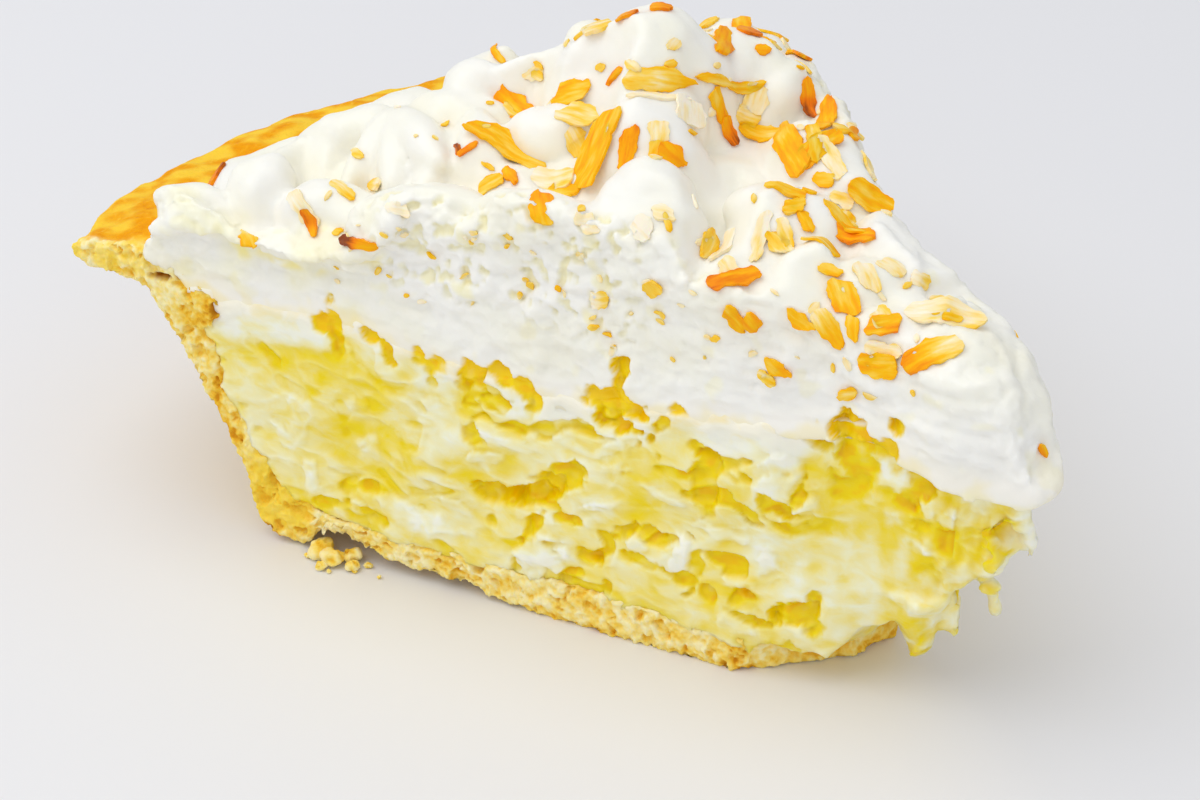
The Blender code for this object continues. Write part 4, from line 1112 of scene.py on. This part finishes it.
# %% Places of the coconut that catches the eye
TOASTED = [
    (-66.0, -15.0, 54.5, 35, -45, 12.6, 2.0, 3.8, 3.6, 0.8, 0.50, 0.40),
    (-58.0, -13.5, 54.0, 30, 15, 5.2, 2.6, 3.2, 2.6, 0.0, 0.15, 0.30),
    (-54.0, -10.0, 58.5, -80, -60, 10.0, 3.4, 5.0, 4.6, -0.6, 0.50, 0.50),
    (-50.5, -8.5, 59.5, -60, -60, 5.0, 1.8, 2.0, 1.2, 0.0, 0.65, 0.60),
    (-49.0, -22.5, 57.0, -25, -35, 4.4, 1.6, 2.6, 2.2, 0.0, 0.60, 0.50),
    (-55.5, -14.0, 53.5, 25, 15, 4.2, 1.8, 1.8, 1.4, 0.0, 0.45, 0.45),
    (-63.5, -19.0, 53.0, 65, 15, 3.4, 1.2, 1.6, 1.4, 0.4, 0.40, 0.45),
    (-62.0, -17.0, 54.0, -15, -5, 3.6, 0.8, 1.2, 0.6, 0.0, 0.55, 0.60),
    (-75.0, -7.0, 55.5, -5, 5, 5.2, 2.6, 3.4, 2.0, 0.0, 0.60, 0.60),
    (-65.0, -5.5, 60.5, 30, 20, 4.6, 2.8, 3.2, 1.8, 0.0, 0.50, 0.45),
    (-61.5, -7.0, 59.5, 25, 10, 4.8, 2.6, 3.4, 2.0, 0.0, 0.30, 0.35),
    (-61.5, -8.0, 56.0, -15, -20, 3.6, 1.8, 2.6, 1.4, 0.0, 0.25, 0.40),
    (-66.5, -0.5, 67.5, 50, 5, 3.8, 2.8, 3.4, 2.4, 0.0, 0.25, 0.35),
    (-67.5, -1.5, 66.0, 45, 10, 2.2, 1.0, 1.4, 0.8, 0.0, 0.40, 0.40),
    (-62.5, 1.0, 69.5, 65, 15, 2.8, 1.6, 2.0, 1.0, 0.0, 0.60, 0.70),
    (-60.5, 4.5, 70.0, 45, 5, 2.6, 1.4, 1.8, 1.4, 0.0, 0.65, 0.70),
    (-71.5, 21.5, 60.5, 45, 10, 2.6, 1.6, 2.0, 1.6, 0.0, 0.45, 0.40),
    (-53.5, -1.0, 65.0, 60, -10, 8.8, 2.2, 2.8, 0.6, 0.0, 0.35, 0.45),
    (-52.0, 6.5, 63.5, 95, -30, 5.6, 0.4, 1.2, 0.6, 0.0, 0.40, 0.45),
    (-60.0, -2.5, 63.5, 25, 40, 3.4, 0.8, 1.0, 0.8, 0.3, 0.65, 0.60),
    (-52.5, -2.5, 63.0, 65, 0, 7.8, 0.8, 1.0, 0.6, 0.3, 0.15, 0.10),
    (-50.5, 0.5, 61.5, -40, -50, 3.6, 3.4, 3.8, 3.4, 0.0, 0.05, 0.10),
    (-48.5, -5.5, 61.5, -45, -45, 2.6, 1.6, 2.2, 1.6, 0.0, 0.25, 0.25),
    (-46.0, -5.5, 59.5, 20, -35, 3.8, 1.0, 2.4, 1.4, -0.2, 0.60, 0.65),
    (-47.5, -7.0, 59.5, -60, -45, 3.0, 1.2, 1.4, 1.2, 0.0, 0.40, 0.45),
    (-51.0, 6.0, 60.5, 25, -70, 4.4, 2.0, 1.6, 1.4, 0.0, 0.50, 0.50),
    (-49.5, 7.0, 57.5, 20, -35, 3.8, 1.2, 1.6, 1.0, 0.0, 0.60, 0.85),
    (-51.0, 12.0, 60.0, -55, -35, 3.6, 2.4, 2.8, 2.2, 0.0, 0.25, 0.25),
    (-51.5, 10.5, 57.5, 70, -25, 3.2, 2.2, 2.6, 1.8, 0.0, 0.30, 0.40),
    (-41.5, 8.0, 59.0, -20, -15, 10.5, 1.8, 3.0, 3.2, 0.0, 0.45, 0.55),
    (-38.5, 10.0, 59.5, -35, -20, 6.0, 1.4, 1.8, 1.4, 0.0, 0.40, 0.45),
    (-44.0, 17.0, 58.0, -40, -25, 10.5, 1.4, 2.0, 2.2, 0.0, 0.65, 0.50),
    (-49.0, 18.5, 58.5, -25, -35, 5.4, 1.2, 1.8, 0.6, 0.0, 0.65, 0.80),
    (-59.0, 26.0, 59.5, -35, -25, 4.0, 1.0, 2.0, 2.8, 0.0, 0.50, 0.65),
    (-65.5, 29.0, 58.5, -30, -35, 1.6, 0.8, 1.2, 1.0, 0.0, 0.50, 0.50),
    (-55.0, 16.0, 63.5, 75, -10, 1.8, 0.8, 1.4, 0.8, 0.0, 0.60, 0.60),
    (-41.0, 19.0, 57.5, 30, -50, 2.0, 1.0, 2.2, 1.0, 0.0, 0.25, 0.25),
    (-34.5, 8.0, 56.5, 20, 10, 2.6, 1.2, 1.6, 1.4, 0.0, 0.50, 0.50),
    (-30.0, 11.0, 55.0, 45, -35, 5.8, 1.6, 2.8, 1.4, 0.0, 0.45, 0.50),
    (-33.0, 0.0, 57.5, 40, -15, 4.8, 0.6, 1.6, 1.2, 0.3, 0.40, 0.50),
    (-27.0, 4.0, 55.0, 5, -45, 6.8, 1.0, 1.8, 1.6, 0.0, 0.45, 0.50),
    (-30.5, -0.5, 57.0, 65, 5, 2.6, 1.6, 2.2, 1.6, 0.0, 0.45, 0.45),
    (-28.5, -0.5, 56.0, -15, -35, 2.8, 0.8, 1.4, 0.8, 0.0, 0.50, 0.50),
    (-24.5, -2.0, 55.0, 30, -15, 4.6, 1.6, 2.4, 1.2, 0.2, 0.35, 0.50),
    (-30.5, -5.5, 54.5, -55, -30, 6.6, 1.6, 1.4, 0.8, 0.0, 0.10, 0.25),
    (-29.0, -3.0, 55.0, -20, -35, 4.0, 1.0, 1.4, 1.0, 0.0, 0.20, 0.40),
    (-28.5, -4.0, 54.0, -5, -20, 3.8, 1.4, 2.0, 1.4, 0.0, 0.45, 0.20),
    (-34.0, -9.5, 54.0, -70, -10, 4.8, 1.6, 2.4, 1.0, 0.0, 0.45, 0.40),
    (-33.0, -8.5, 53.0, -60, -15, 6.6, 1.4, 1.2, 0.6, 0.0, 0.10, 0.15),
    (-28.0, -11.5, 52.5, 70, 0, 6.0, 1.2, 2.0, 1.6, 0.0, 0.70, 0.65),
    (-21.5, -3.0, 53.5, 35, -15, 2.8, 0.8, 1.2, 0.8, 0.0, 0.45, 0.45),
    (-18.5, -3.5, 51.5, -20, -30, 4.4, 2.2, 3.2, 2.4, 0.0, 0.45, 0.50),
    (-18.0, 3.0, 53.0, 5, -20, 3.2, 2.0, 2.6, 1.6, 0.0, 0.20, 0.20),
    (-26.5, -12.5, 48.5, 40, -50, 3.4, 1.4, 1.8, 1.2, 0.0, 0.50, 0.55),
    (-25.0, -11.0, 48.5, 35, -50, 2.2, 1.4, 2.0, 1.4, 0.0, 0.55, 0.60),
    (-36.0, -16.5, 50.0, 30, -30, 2.0, 1.6, 1.8, 1.6, 0.0, 0.40, 0.40),
    (-42.0, -19.5, 47.0, 25, 15, 2.6, 1.6, 1.8, 1.4, 0.0, 0.15, 0.40),
    (-36.0, -14.5, 57.5, -25, -25, 2.6, 0.4, 0.8, 0.4, 0.0, 0.40, 0.40),
    (-38.0, -16.5, 56.5, 0, -25, 2.8, 1.8, 2.4, 1.6, 0.0, 0.05, 0.05),
    (-44.0, -20.0, 56.5, 55, 0, 2.2, 1.2, 1.4, 1.2, 0.0, 0.15, 0.15),
    (-88.5, 0.5, 57.5, -25, 10, 3.6, 0.7, 0.9, 0.6, -0.5, 0.60, 0.50),
    (-73.5, -4.0, 59.5, -5, -5, 2.0, 1.0, 1.2, 0.8, 0.0, 0.35, 0.35),
    (-20.5, -8.0, 49.5, 25, -30, 3.8, 0.6, 1.6, 1.0, -0.2, 0.50, 0.50),
    (-17.5, -6.5, 49.0, 5, -40, 5.2, 2.0, 2.4, 1.0, 0.0, 0.30, 0.55),
    (-15.5, -5.0, 49.5, -40, -45, 2.8, 1.2, 1.4, 1.0, 0.0, 0.45, 0.50),
    (-13.5, -2.5, 51.0, -10, -30, 2.4, 1.8, 2.4, 2.2, 0.0, 0.25, 0.30),
    (-13.5, -2.0, 49.0, 55, 5, 3.8, 1.4, 2.4, 1.6, 0.0, 0.50, 0.55),
    (-11.5, -4.5, 46.5, 10, 15, 4.8, 1.4, 2.6, 1.8, 0.0, 0.50, 0.45),
    (-11.5, -3.5, 48.0, 5, 15, 4.6, 1.4, 1.6, 1.2, 0.0, 0.20, 0.25),
    (-8.5, 2.0, 52.5, 30, 5, 9.2, 1.6, 3.4, 1.0, 0.0, 0.20, 0.25),
    (-7.5, 1.0, 52.8, 35, 10, 3.8, 0.4, 1.0, 0.4, 0.0, 0.50, 0.45),
    (-6.0, -2.0, 49.5, 50, 20, 7.0, 1.4, 3.2, 1.8, 0.0, 0.68, 0.25),
    (-18.0, -0.5, 53.5, -20, -30, 4.0, 1.8, 2.6, 1.2, 0.0, 0.20, 0.25),
    (-15.0, 5.0, 52.5, 45, -15, 2.4, 1.4, 1.8, 1.4, 0.0, 0.15, 0.25),
    (-22.0, -9.5, 43.5, 25, -30, 3.4, 0.6, 1.8, 0.8, -0.2, 0.50, 0.55),
    (-23.0, -10.5, 42.0, 30, -5, 2.4, 0.8, 1.2, 0.8, 0.0, 0.35, 0.40),
    (-15.0, -5.5, 41.5, 25, 20, 2.4, 1.0, 1.4, 1.0, 0.0, 0.45, 0.40),
    (-12.0, -5.0, 42.5, 15, 5, 1.8, 0.6, 0.8, 0.6, 0.0, 0.30, 0.35),
    (-102.5, -33.5, 43.5, 5, -60, 3.6, 1.4, 2.0, 1.2, 0.0, 0.90, 0.75),
    (-83.5, -41.0, 47.5, -15, -35, 3.2, 1.4, 2.2, 1.4, 0.0, 0.40, 0.45),
    (-79.5, -35.5, 48.5, -35, -10, 5.4, 2.0, 2.2, 1.2, 0.0, 0.15, 0.20),
    (-79.0, -34.0, 46.5, -35, -15, 4.2, 1.0, 1.2, 0.6, 0.0, 0.75, 0.60),
    (-69.0, -35.0, 48.0, 20, 5, 6.4, 1.0, 1.3, 0.8, 0.0, 1.00, 0.55),
    (-77.5, -31.0, 50.5, 5, 5, 4.6, 1.0, 1.6, 0.8, 0.0, 0.25, 0.40),
    (-78.0, -26.0, 49.5, 5, 10, 4.0, 1.0, 1.6, 0.8, 0.0, 0.45, 0.15),
    (-82.5, -25.5, 52.0, 10, 10, 2.0, 0.8, 1.2, 0.8, 0.0, 0.30, 0.30),
    (-70.0, -19.0, 55.0, -15, -10, 2.4, 0.6, 0.8, 0.6, 0.3, 0.85, 0.80),
    (-68.5, -18.5, 55.5, 65, 25, 2.8, 0.6, 0.7, 0.4, 0.0, 0.75, 0.65),
    (-65.0, -31.5, 53.0, 25, 10, 2.8, 1.2, 1.6, 1.4, 0.0, 0.10, 0.10),
    (5.0, 4.5, 40.0, 45, -80, 1.6, 0.5, 0.8, 0.5, 0.0, 0.55, 0.55),
]
print("listed pieces of coconut:", len(TOASTED))

# %% [markdown]
# Small bits and the pieces behind follow a rule instead. Each is drawn at a random place, and a
# ray from above, or from outside towards a cut face, finds the cream there.

# %% The coconut that follows a rule
SKY = 80.0
DOWN = Vector((0.0, 0.0, -1.0))


def small_bits(surface, count, seed):
    """Crumbs of coconut by a rule: on the cut faces, and among the large pieces on top."""
    draw = np.random.default_rng(seed)
    for _ in range(count):
        r, turn = 86.0 * draw.uniform() ** 0.6, HALF_ANGLE * draw.uniform(-1.0, 1.0)
        x, y, z = -r * math.cos(turn), -r * math.sin(turn), SKY
        if draw.uniform() < 0.5:
            # on a cut face, and on the near one twice as often as on the far one
            face = draw.choice([1.0, 1.0, -1.0])
            turn, z = face * (HALF_ANGLE + 0.2), draw.uniform(40.5, 53.0 - 0.08 * abs(r - 55.0))
            x, y = -r * math.cos(turn), -r * math.sin(turn)
            toward = Vector((-SPREAD, face * math.cos(HALF_ANGLE), 0.0))
            spot, _, _, _ = surface.ray_cast(Vector((x, y, z)) + PIE_MIDDLE - 20.0 * toward, toward)
        else:
            spot, _, _, _ = surface.ray_cast(Vector((x, y, z)) + PIE_MIDDLE, DOWN)
        if spot is None:
            continue
        spot = spot - PIE_MIDDLE
        length = draw.uniform(0.6, 1.3) * (1.0 + (z > 60.0) * draw.uniform(0.0, 1.6))
        width, tone = length * draw.uniform(0.3, 0.8), draw.uniform(0.1, 0.48)
        yield (*spot, draw.uniform(0, 180), draw.uniform(-30, 30), length, 0.7 * width, width,
               0.6 * width, 0.0, tone, tone)


def pieces_behind(surface, count, seed):
    """Larger pieces by a rule on the far half of the top, which the list leaves bare."""
    draw = np.random.default_rng(seed)
    for _ in range(count):
        r, turn = draw.uniform(22.0, 103.0), -HALF_ANGLE * draw.uniform(0.25, 0.97)
        x, y = -r * math.cos(turn), -r * math.sin(turn)
        spot, _, _, _ = surface.ray_cast(Vector((x, y, SKY)) + PIE_MIDDLE, DOWN)
        length, width = draw.uniform(2.5, 7.5), draw.uniform(1.2, 2.8)
        tone = draw.uniform(0.15, 0.7)
        yield (*(spot - PIE_MIDDLE), draw.uniform(0, 180), draw.uniform(-20, 20), length,
               width * draw.uniform(0.3, 0.9), width, width * draw.uniform(0.3, 0.9),
               draw.uniform(-0.4, 0.4), tone, tone + draw.uniform(-0.1, 0.15))


# %% [markdown]
# A strip starts as a cube of cells. The surface under it is felt with rays at a few places
# along it, and a gentle curve through them bends the strip, so that it lies in the cream as a
# limp shaving would.

# %% Feel the cream under a strip
FELT_AT = np.linspace(-1.0, 1.0, 9)
# rays start this far over the strip, in mm, and reach as far under it
FEEL_FROM = 4.0


def facing(surface, spot, step):
    """The direction that the surface faces on the whole, asked a step away on all sides."""
    around_spot = [(step, 0, 0), (-step, 0, 0), (0, step, 0), (0, -step, 0), (0, 0, step), (0, 0, -step)]
    found = (surface.find_nearest(spot + Vector(offset))[1] for offset in around_spot)
    return sum(found, Vector()).normalized()


def lie_of(surface, spot, long_way, face_way, length):
    """Heights of a limp strip over the spot at FELT_AT, from -1 to 1 along it."""
    felt = []
    for share in FELT_AT.tolist():
        start = spot + long_way * share * length / 2 + face_way * FEEL_FROM
        hit, _, _, far_off = surface.ray_cast(start, -face_way, 2 * FEEL_FROM)
        felt.append(-0.1 * length if hit is None else FEEL_FROM - far_off)
    felt = np.clip(felt, -0.25 * length, 0.25 * length)
    # ease the curve twice, but never sink it by more than 0.15 mm each time
    for _ in range(2):
        ends = np.concatenate([felt[:1], felt, felt[-1:]])
        felt = np.maximum(0.25 * ends[:-2] + 0.5 * ends[1:-1] + 0.25 * ends[2:], felt - 0.15)
    return felt


# %% [markdown]
# On the strip, u runs from -1 to 1 along it, v across it and w through it. Its width swells
# from both ends to the middle, its corners are rounded, its long sides are ragged, and its face
# is cupped a little. The marks `lengthwise` and `crosswise` let the material draw its fibres.

# %% Make one strip of coconut
def strip_shape(length, start, middle, end, bow, seed, draw):
    """A strip's cells, u, v and w of their corners, and a along and b across it in mm."""
    bm = bmesh.new()
    bmesh.ops.create_cube(bm, size=1.0)
    for axis, cuts in ((0, 17 if length > 2.0 else 5), (1, 3)):
        slice_across(bm, axis, cuts)
    u, v, w = corners(bm)
    u, v = 2.0 * u, 2.0 * v
    width = np.where(u < 0.0, start + (middle - start) * (1.0 + u) ** 0.7,
                     end + (middle - end) * (1.0 - u) ** 0.7)
    rounding = np.sqrt(np.clip(1.0 - (np.maximum(np.abs(u) - 0.82, 0.0) / 0.2) ** 2, 0.2, 1.0))
    edge_noise = lumps(u * length / 2, np.sign(v) * 7.0, seed * 3.0, 1.3, 81, octaves=3)
    ragged = 0.22 * min(middle, 2.0) * edge_noise
    b = v * (1.1 * width * rounding / 2 + ragged) + bow * (1.0 - u**2) * 1.2
    skew = draw.uniform(-0.3, 0.3) * middle
    a = u * length / 2 + skew * v * 0.5 + 0.25 * lumps(v * middle, np.sign(u), seed * 2.0, 1.0, 84)
    return bm, u, v, w, a, b


def strip(place, surface, seed):
    """A strip laid on the surface, with how toasted each of its corners is."""
    x, y, z, heading, rise, length, start, middle, end, bow, tone_start, tone_end = place
    draw = np.random.default_rng(seed)
    spot, _, _, _ = surface.find_nearest(Vector((x, y, z)) + PIE_MIDDLE)
    out = facing(surface, spot, min(0.35 * length, 1.5))
    turned, lifted = math.radians(heading), math.radians(rise)
    long_way = Vector((math.cos(turned) * math.cos(lifted), math.sin(turned) * math.cos(lifted),
                       math.sin(lifted)))
    # turn the length most of the way into the surface, so that it lies rather than stands
    long_way = (long_way - 0.85 * out * long_way.dot(out)).normalized()
    side_way = out.cross(long_way).normalized()
    face_way = long_way.cross(side_way)
    felt = lie_of(surface, spot, long_way, face_way, length)
    bm, u, v, w, a, b = strip_shape(length, start, middle, end, bow, seed, draw)
    thick = draw.uniform(0.4, 0.62) * (0.6 + 0.4 * min(length / 3.0, 1.0))
    lie = np.interp(u, FELT_AT, felt) + draw.uniform(-0.02, 0.05) * length * u
    curl = draw.uniform(0.0, 0.03) * length * u**2 + draw.uniform(-0.10, 0.14) * middle * v**2 * 0.5
    c = w * thick * (1.0 - 0.25 * v**2) * (1.0 - 0.25 * u**4) + lie + curl
    c = c + 0.07 * lumps(a, b, w + seed, 1.0, 82)
    move_corners(bm, a, b, c)
    turn = Matrix((long_way, side_way, face_way)).transposed().to_4x4()
    # pale pieces are moist and sink in deeper; long stiff ones lie higher
    sunk = (0.1 if tone_start < 0.32 else 0.36) + 0.25 * smoothstep(6.0, 9.0, length)
    bm.transform(Matrix.Translation(spot + face_way * (sunk * thick)) @ turn)
    toast = tone_start + (tone_end - tone_start) * smoothstep(-0.8, 0.8, u)
    browner = 0.04 * np.maximum(np.abs(v) ** 3, np.abs(u) ** 5) * (toast > 0.35)
    toast = toast + browner + 0.08 * lumps(a, b, seed, 2.0, 83)
    mark(bm, toast=clamp(toast), lengthwise=(a + 40.0 * seed) * MM, crosswise=b * MM)
    return bm


# %% Toasted coconut
# Coconut flesh, shaved thin, dried and toasted in a pan. Its sugar browns from cream through
# gold to brown, soonest at the ends, and its dry face is matt. Its fibres run lengthwise and are
# about 0.1 mm apart, too fine to show, so they are drawn 0.8 mm apart, scale 1300, and 3.5 mm
# long. Each strip has its own stretch of the pattern.
coconut_look, tree, shader = new_material("shaved coconut, toasted")
toast, lengthwise, crosswise = (add(tree, "ShaderNodeAttribute", attribute_name=name).outputs["Fac"]
                                for name in ("toast", "lengthwise", "crosswise"))
drawn_out = add(tree, "ShaderNodeMath", {0: lengthwise, 1: 0.22}, operation="MULTIPLY")
where = add(tree, "ShaderNodeCombineXYZ", {"X": drawn_out.outputs[0], "Y": crosswise}).outputs[0]
fibres = add(tree, "ShaderNodeTexNoise", {"Vector": where, "Scale": 1300.0, "Detail": 3.0})
uneven = add(tree, "ShaderNodeMapRange", {"Value": fibres.outputs["Fac"], "From Min": 0.3,
                                          "From Max": 0.7, "To Min": -0.14, "To Max": 0.14})
tone = add(tree, "ShaderNodeMath", {0: toast, 1: uneven.outputs["Result"]}, operation="ADD")
body = add(tree, "ShaderNodeValToRGB", {"Fac": tone.outputs[0]},
           stops=[(0.05, "#fff4de"), (0.22, "#ffe7b0"), (0.36, "#ffd558"), (0.50, "#ffc008"),
                  (0.64, "#ffa602"), (0.80, "#f07e06"), (0.97, "#8a3d10")]).outputs["Color"]
relief = add(tree, "ShaderNodeBump", {"Height": fibres.outputs["Fac"], "Strength": 0.4,
                                      "Distance": 0.0003})
fill_in(tree, shader, {
    "Base Color": body, "Normal": relief.outputs["Normal"], "Roughness": 0.5,
    "Specular IOR Level": 0.15, "Subsurface Weight": 0.3, "Subsurface Radius": (1.0, 0.7, 0.25),
    "Subsurface Scale": 0.0003})

# %% Lay the coconut on the cream
places = TOASTED + list(small_bits(cream_surface, count=170, seed=5))
places += pieces_behind(cream_surface, count=34, seed=6)
strips = gather([strip(place, cream_surface, k) for k, place in enumerate(places)])
toasted = finish(strips, "toasted_coconut", coconut_look, "cream", scattered=True)
# a sharp edge angle keeps the rims crisp while the faces stay smooth
toasted.data.set_sharp_from_angle(angle=math.radians(50))
print("strips of coconut:", len(places))

# %% [markdown]
# ## Crumbs
#
# A few crumbs of the crust lie where its foot has broken away. Each is a small ball that noise
# has knocked out of round: distance along the near face and out of it, and radius.

# %% Loose crumbs at the foot
CRUMBS = [(85.6, 0.4, 1.5), (83.4, 1.4, 1.35), (81.8, -0.2, 1.15), (84.4, 3.2, 0.7), (80.6, 1.5, 0.8),
          (80.0, 2.0, 0.35), (87.2, 1.6, 0.45), (83.0, 3.4, 0.3), (76.5, 1.8, 0.3), (79.0, 0.2, 0.5)]


def crumb(along, out, radius, seed):
    bm = bmesh.new()
    bmesh.ops.create_icosphere(bm, subdivisions=4, radius=radius)
    x, y, z = corners(bm)
    knocked = 1.0 + 0.55 * lumps(x, y, z, 1.5 * radius, seed, octaves=3)
    x, y, z = x * knocked, y * knocked, z * knocked * 0.8
    place = PIE_MIDDLE + along * NEAR_ALONG + out * NEAR_OUT
    move_corners(bm, x + place.x, y + place.y, z - z.min())
    # painted shade and light: dents get a darker tone and bulges a paler one
    mark(bm, cut=1.0, baked=0.0, buttery=0.25, burnt=0.0, tone=clamp(0.5 + 0.9 * (knocked - 1.0)))
    return bm


crumbs = gather([crumb(*place, seed=90 + k) for k, place in enumerate(CRUMBS)])
finish(crumbs, "pastry_crumbs", crust_look, "crust", scattered=True)

# %% [markdown]
# ## Light and floor
#
# Food like this is shot bright: a broad soft light high on the left, a weaker fill from the
# camera's side, and a white floor and pale surroundings that throw light back up.

# %% Floor and lights
# matt card: its painted paper fibres scatter light evenly, so no gloss shows
floor_look, tree, shader = new_material("matt white card")
fill_in(tree, shader, {"Base Color": linear("#e9e9ec"), "Roughness": 0.6})
bm = bmesh.new()
bmesh.ops.create_grid(bm, x_segments=1, y_segments=1, size=2.0)
mesh = bpy.data.meshes.new("floor")
bm.to_mesh(mesh)
bm.free()
mesh.materials.append(floor_look)
floor = in_scene("floor", mesh)


def lamp(name, place, size, power, colour):
    """A round area light aimed at the slice, with its place and size in metres."""
    data = bpy.data.lights.new(name, "AREA")
    data.shape = "DISK"
    data.size = size
    data.energy = power
    data.color = linear(colour)[:3]
    made = in_scene(name, data)
    made.location = place
    made.rotation_euler = (SLICE_AT - made.location).to_track_quat("-Z", "Y").to_euler()


SLICE_AT = Vector((0.0, 0.0, 0.03))
lamp("key", (-0.20, -0.34, 0.85), size=1.1, power=4.5, colour="#fffefa")
lamp("fill", (0.75, -0.65, 0.35), size=0.9, power=1.0, colour="#fbfcff")
world = bpy.data.worlds.new("studio")
world.use_nodes = True
background = world.node_tree.nodes["Background"]
fill_in(world.node_tree, background, {"Color": linear("#f4f6fa"), "Strength": 0.68})
bpy.context.scene.world = world
bpy.context.scene.view_settings.view_transform = "Standard"
bpy.context.scene.cycles.use_denoising = True
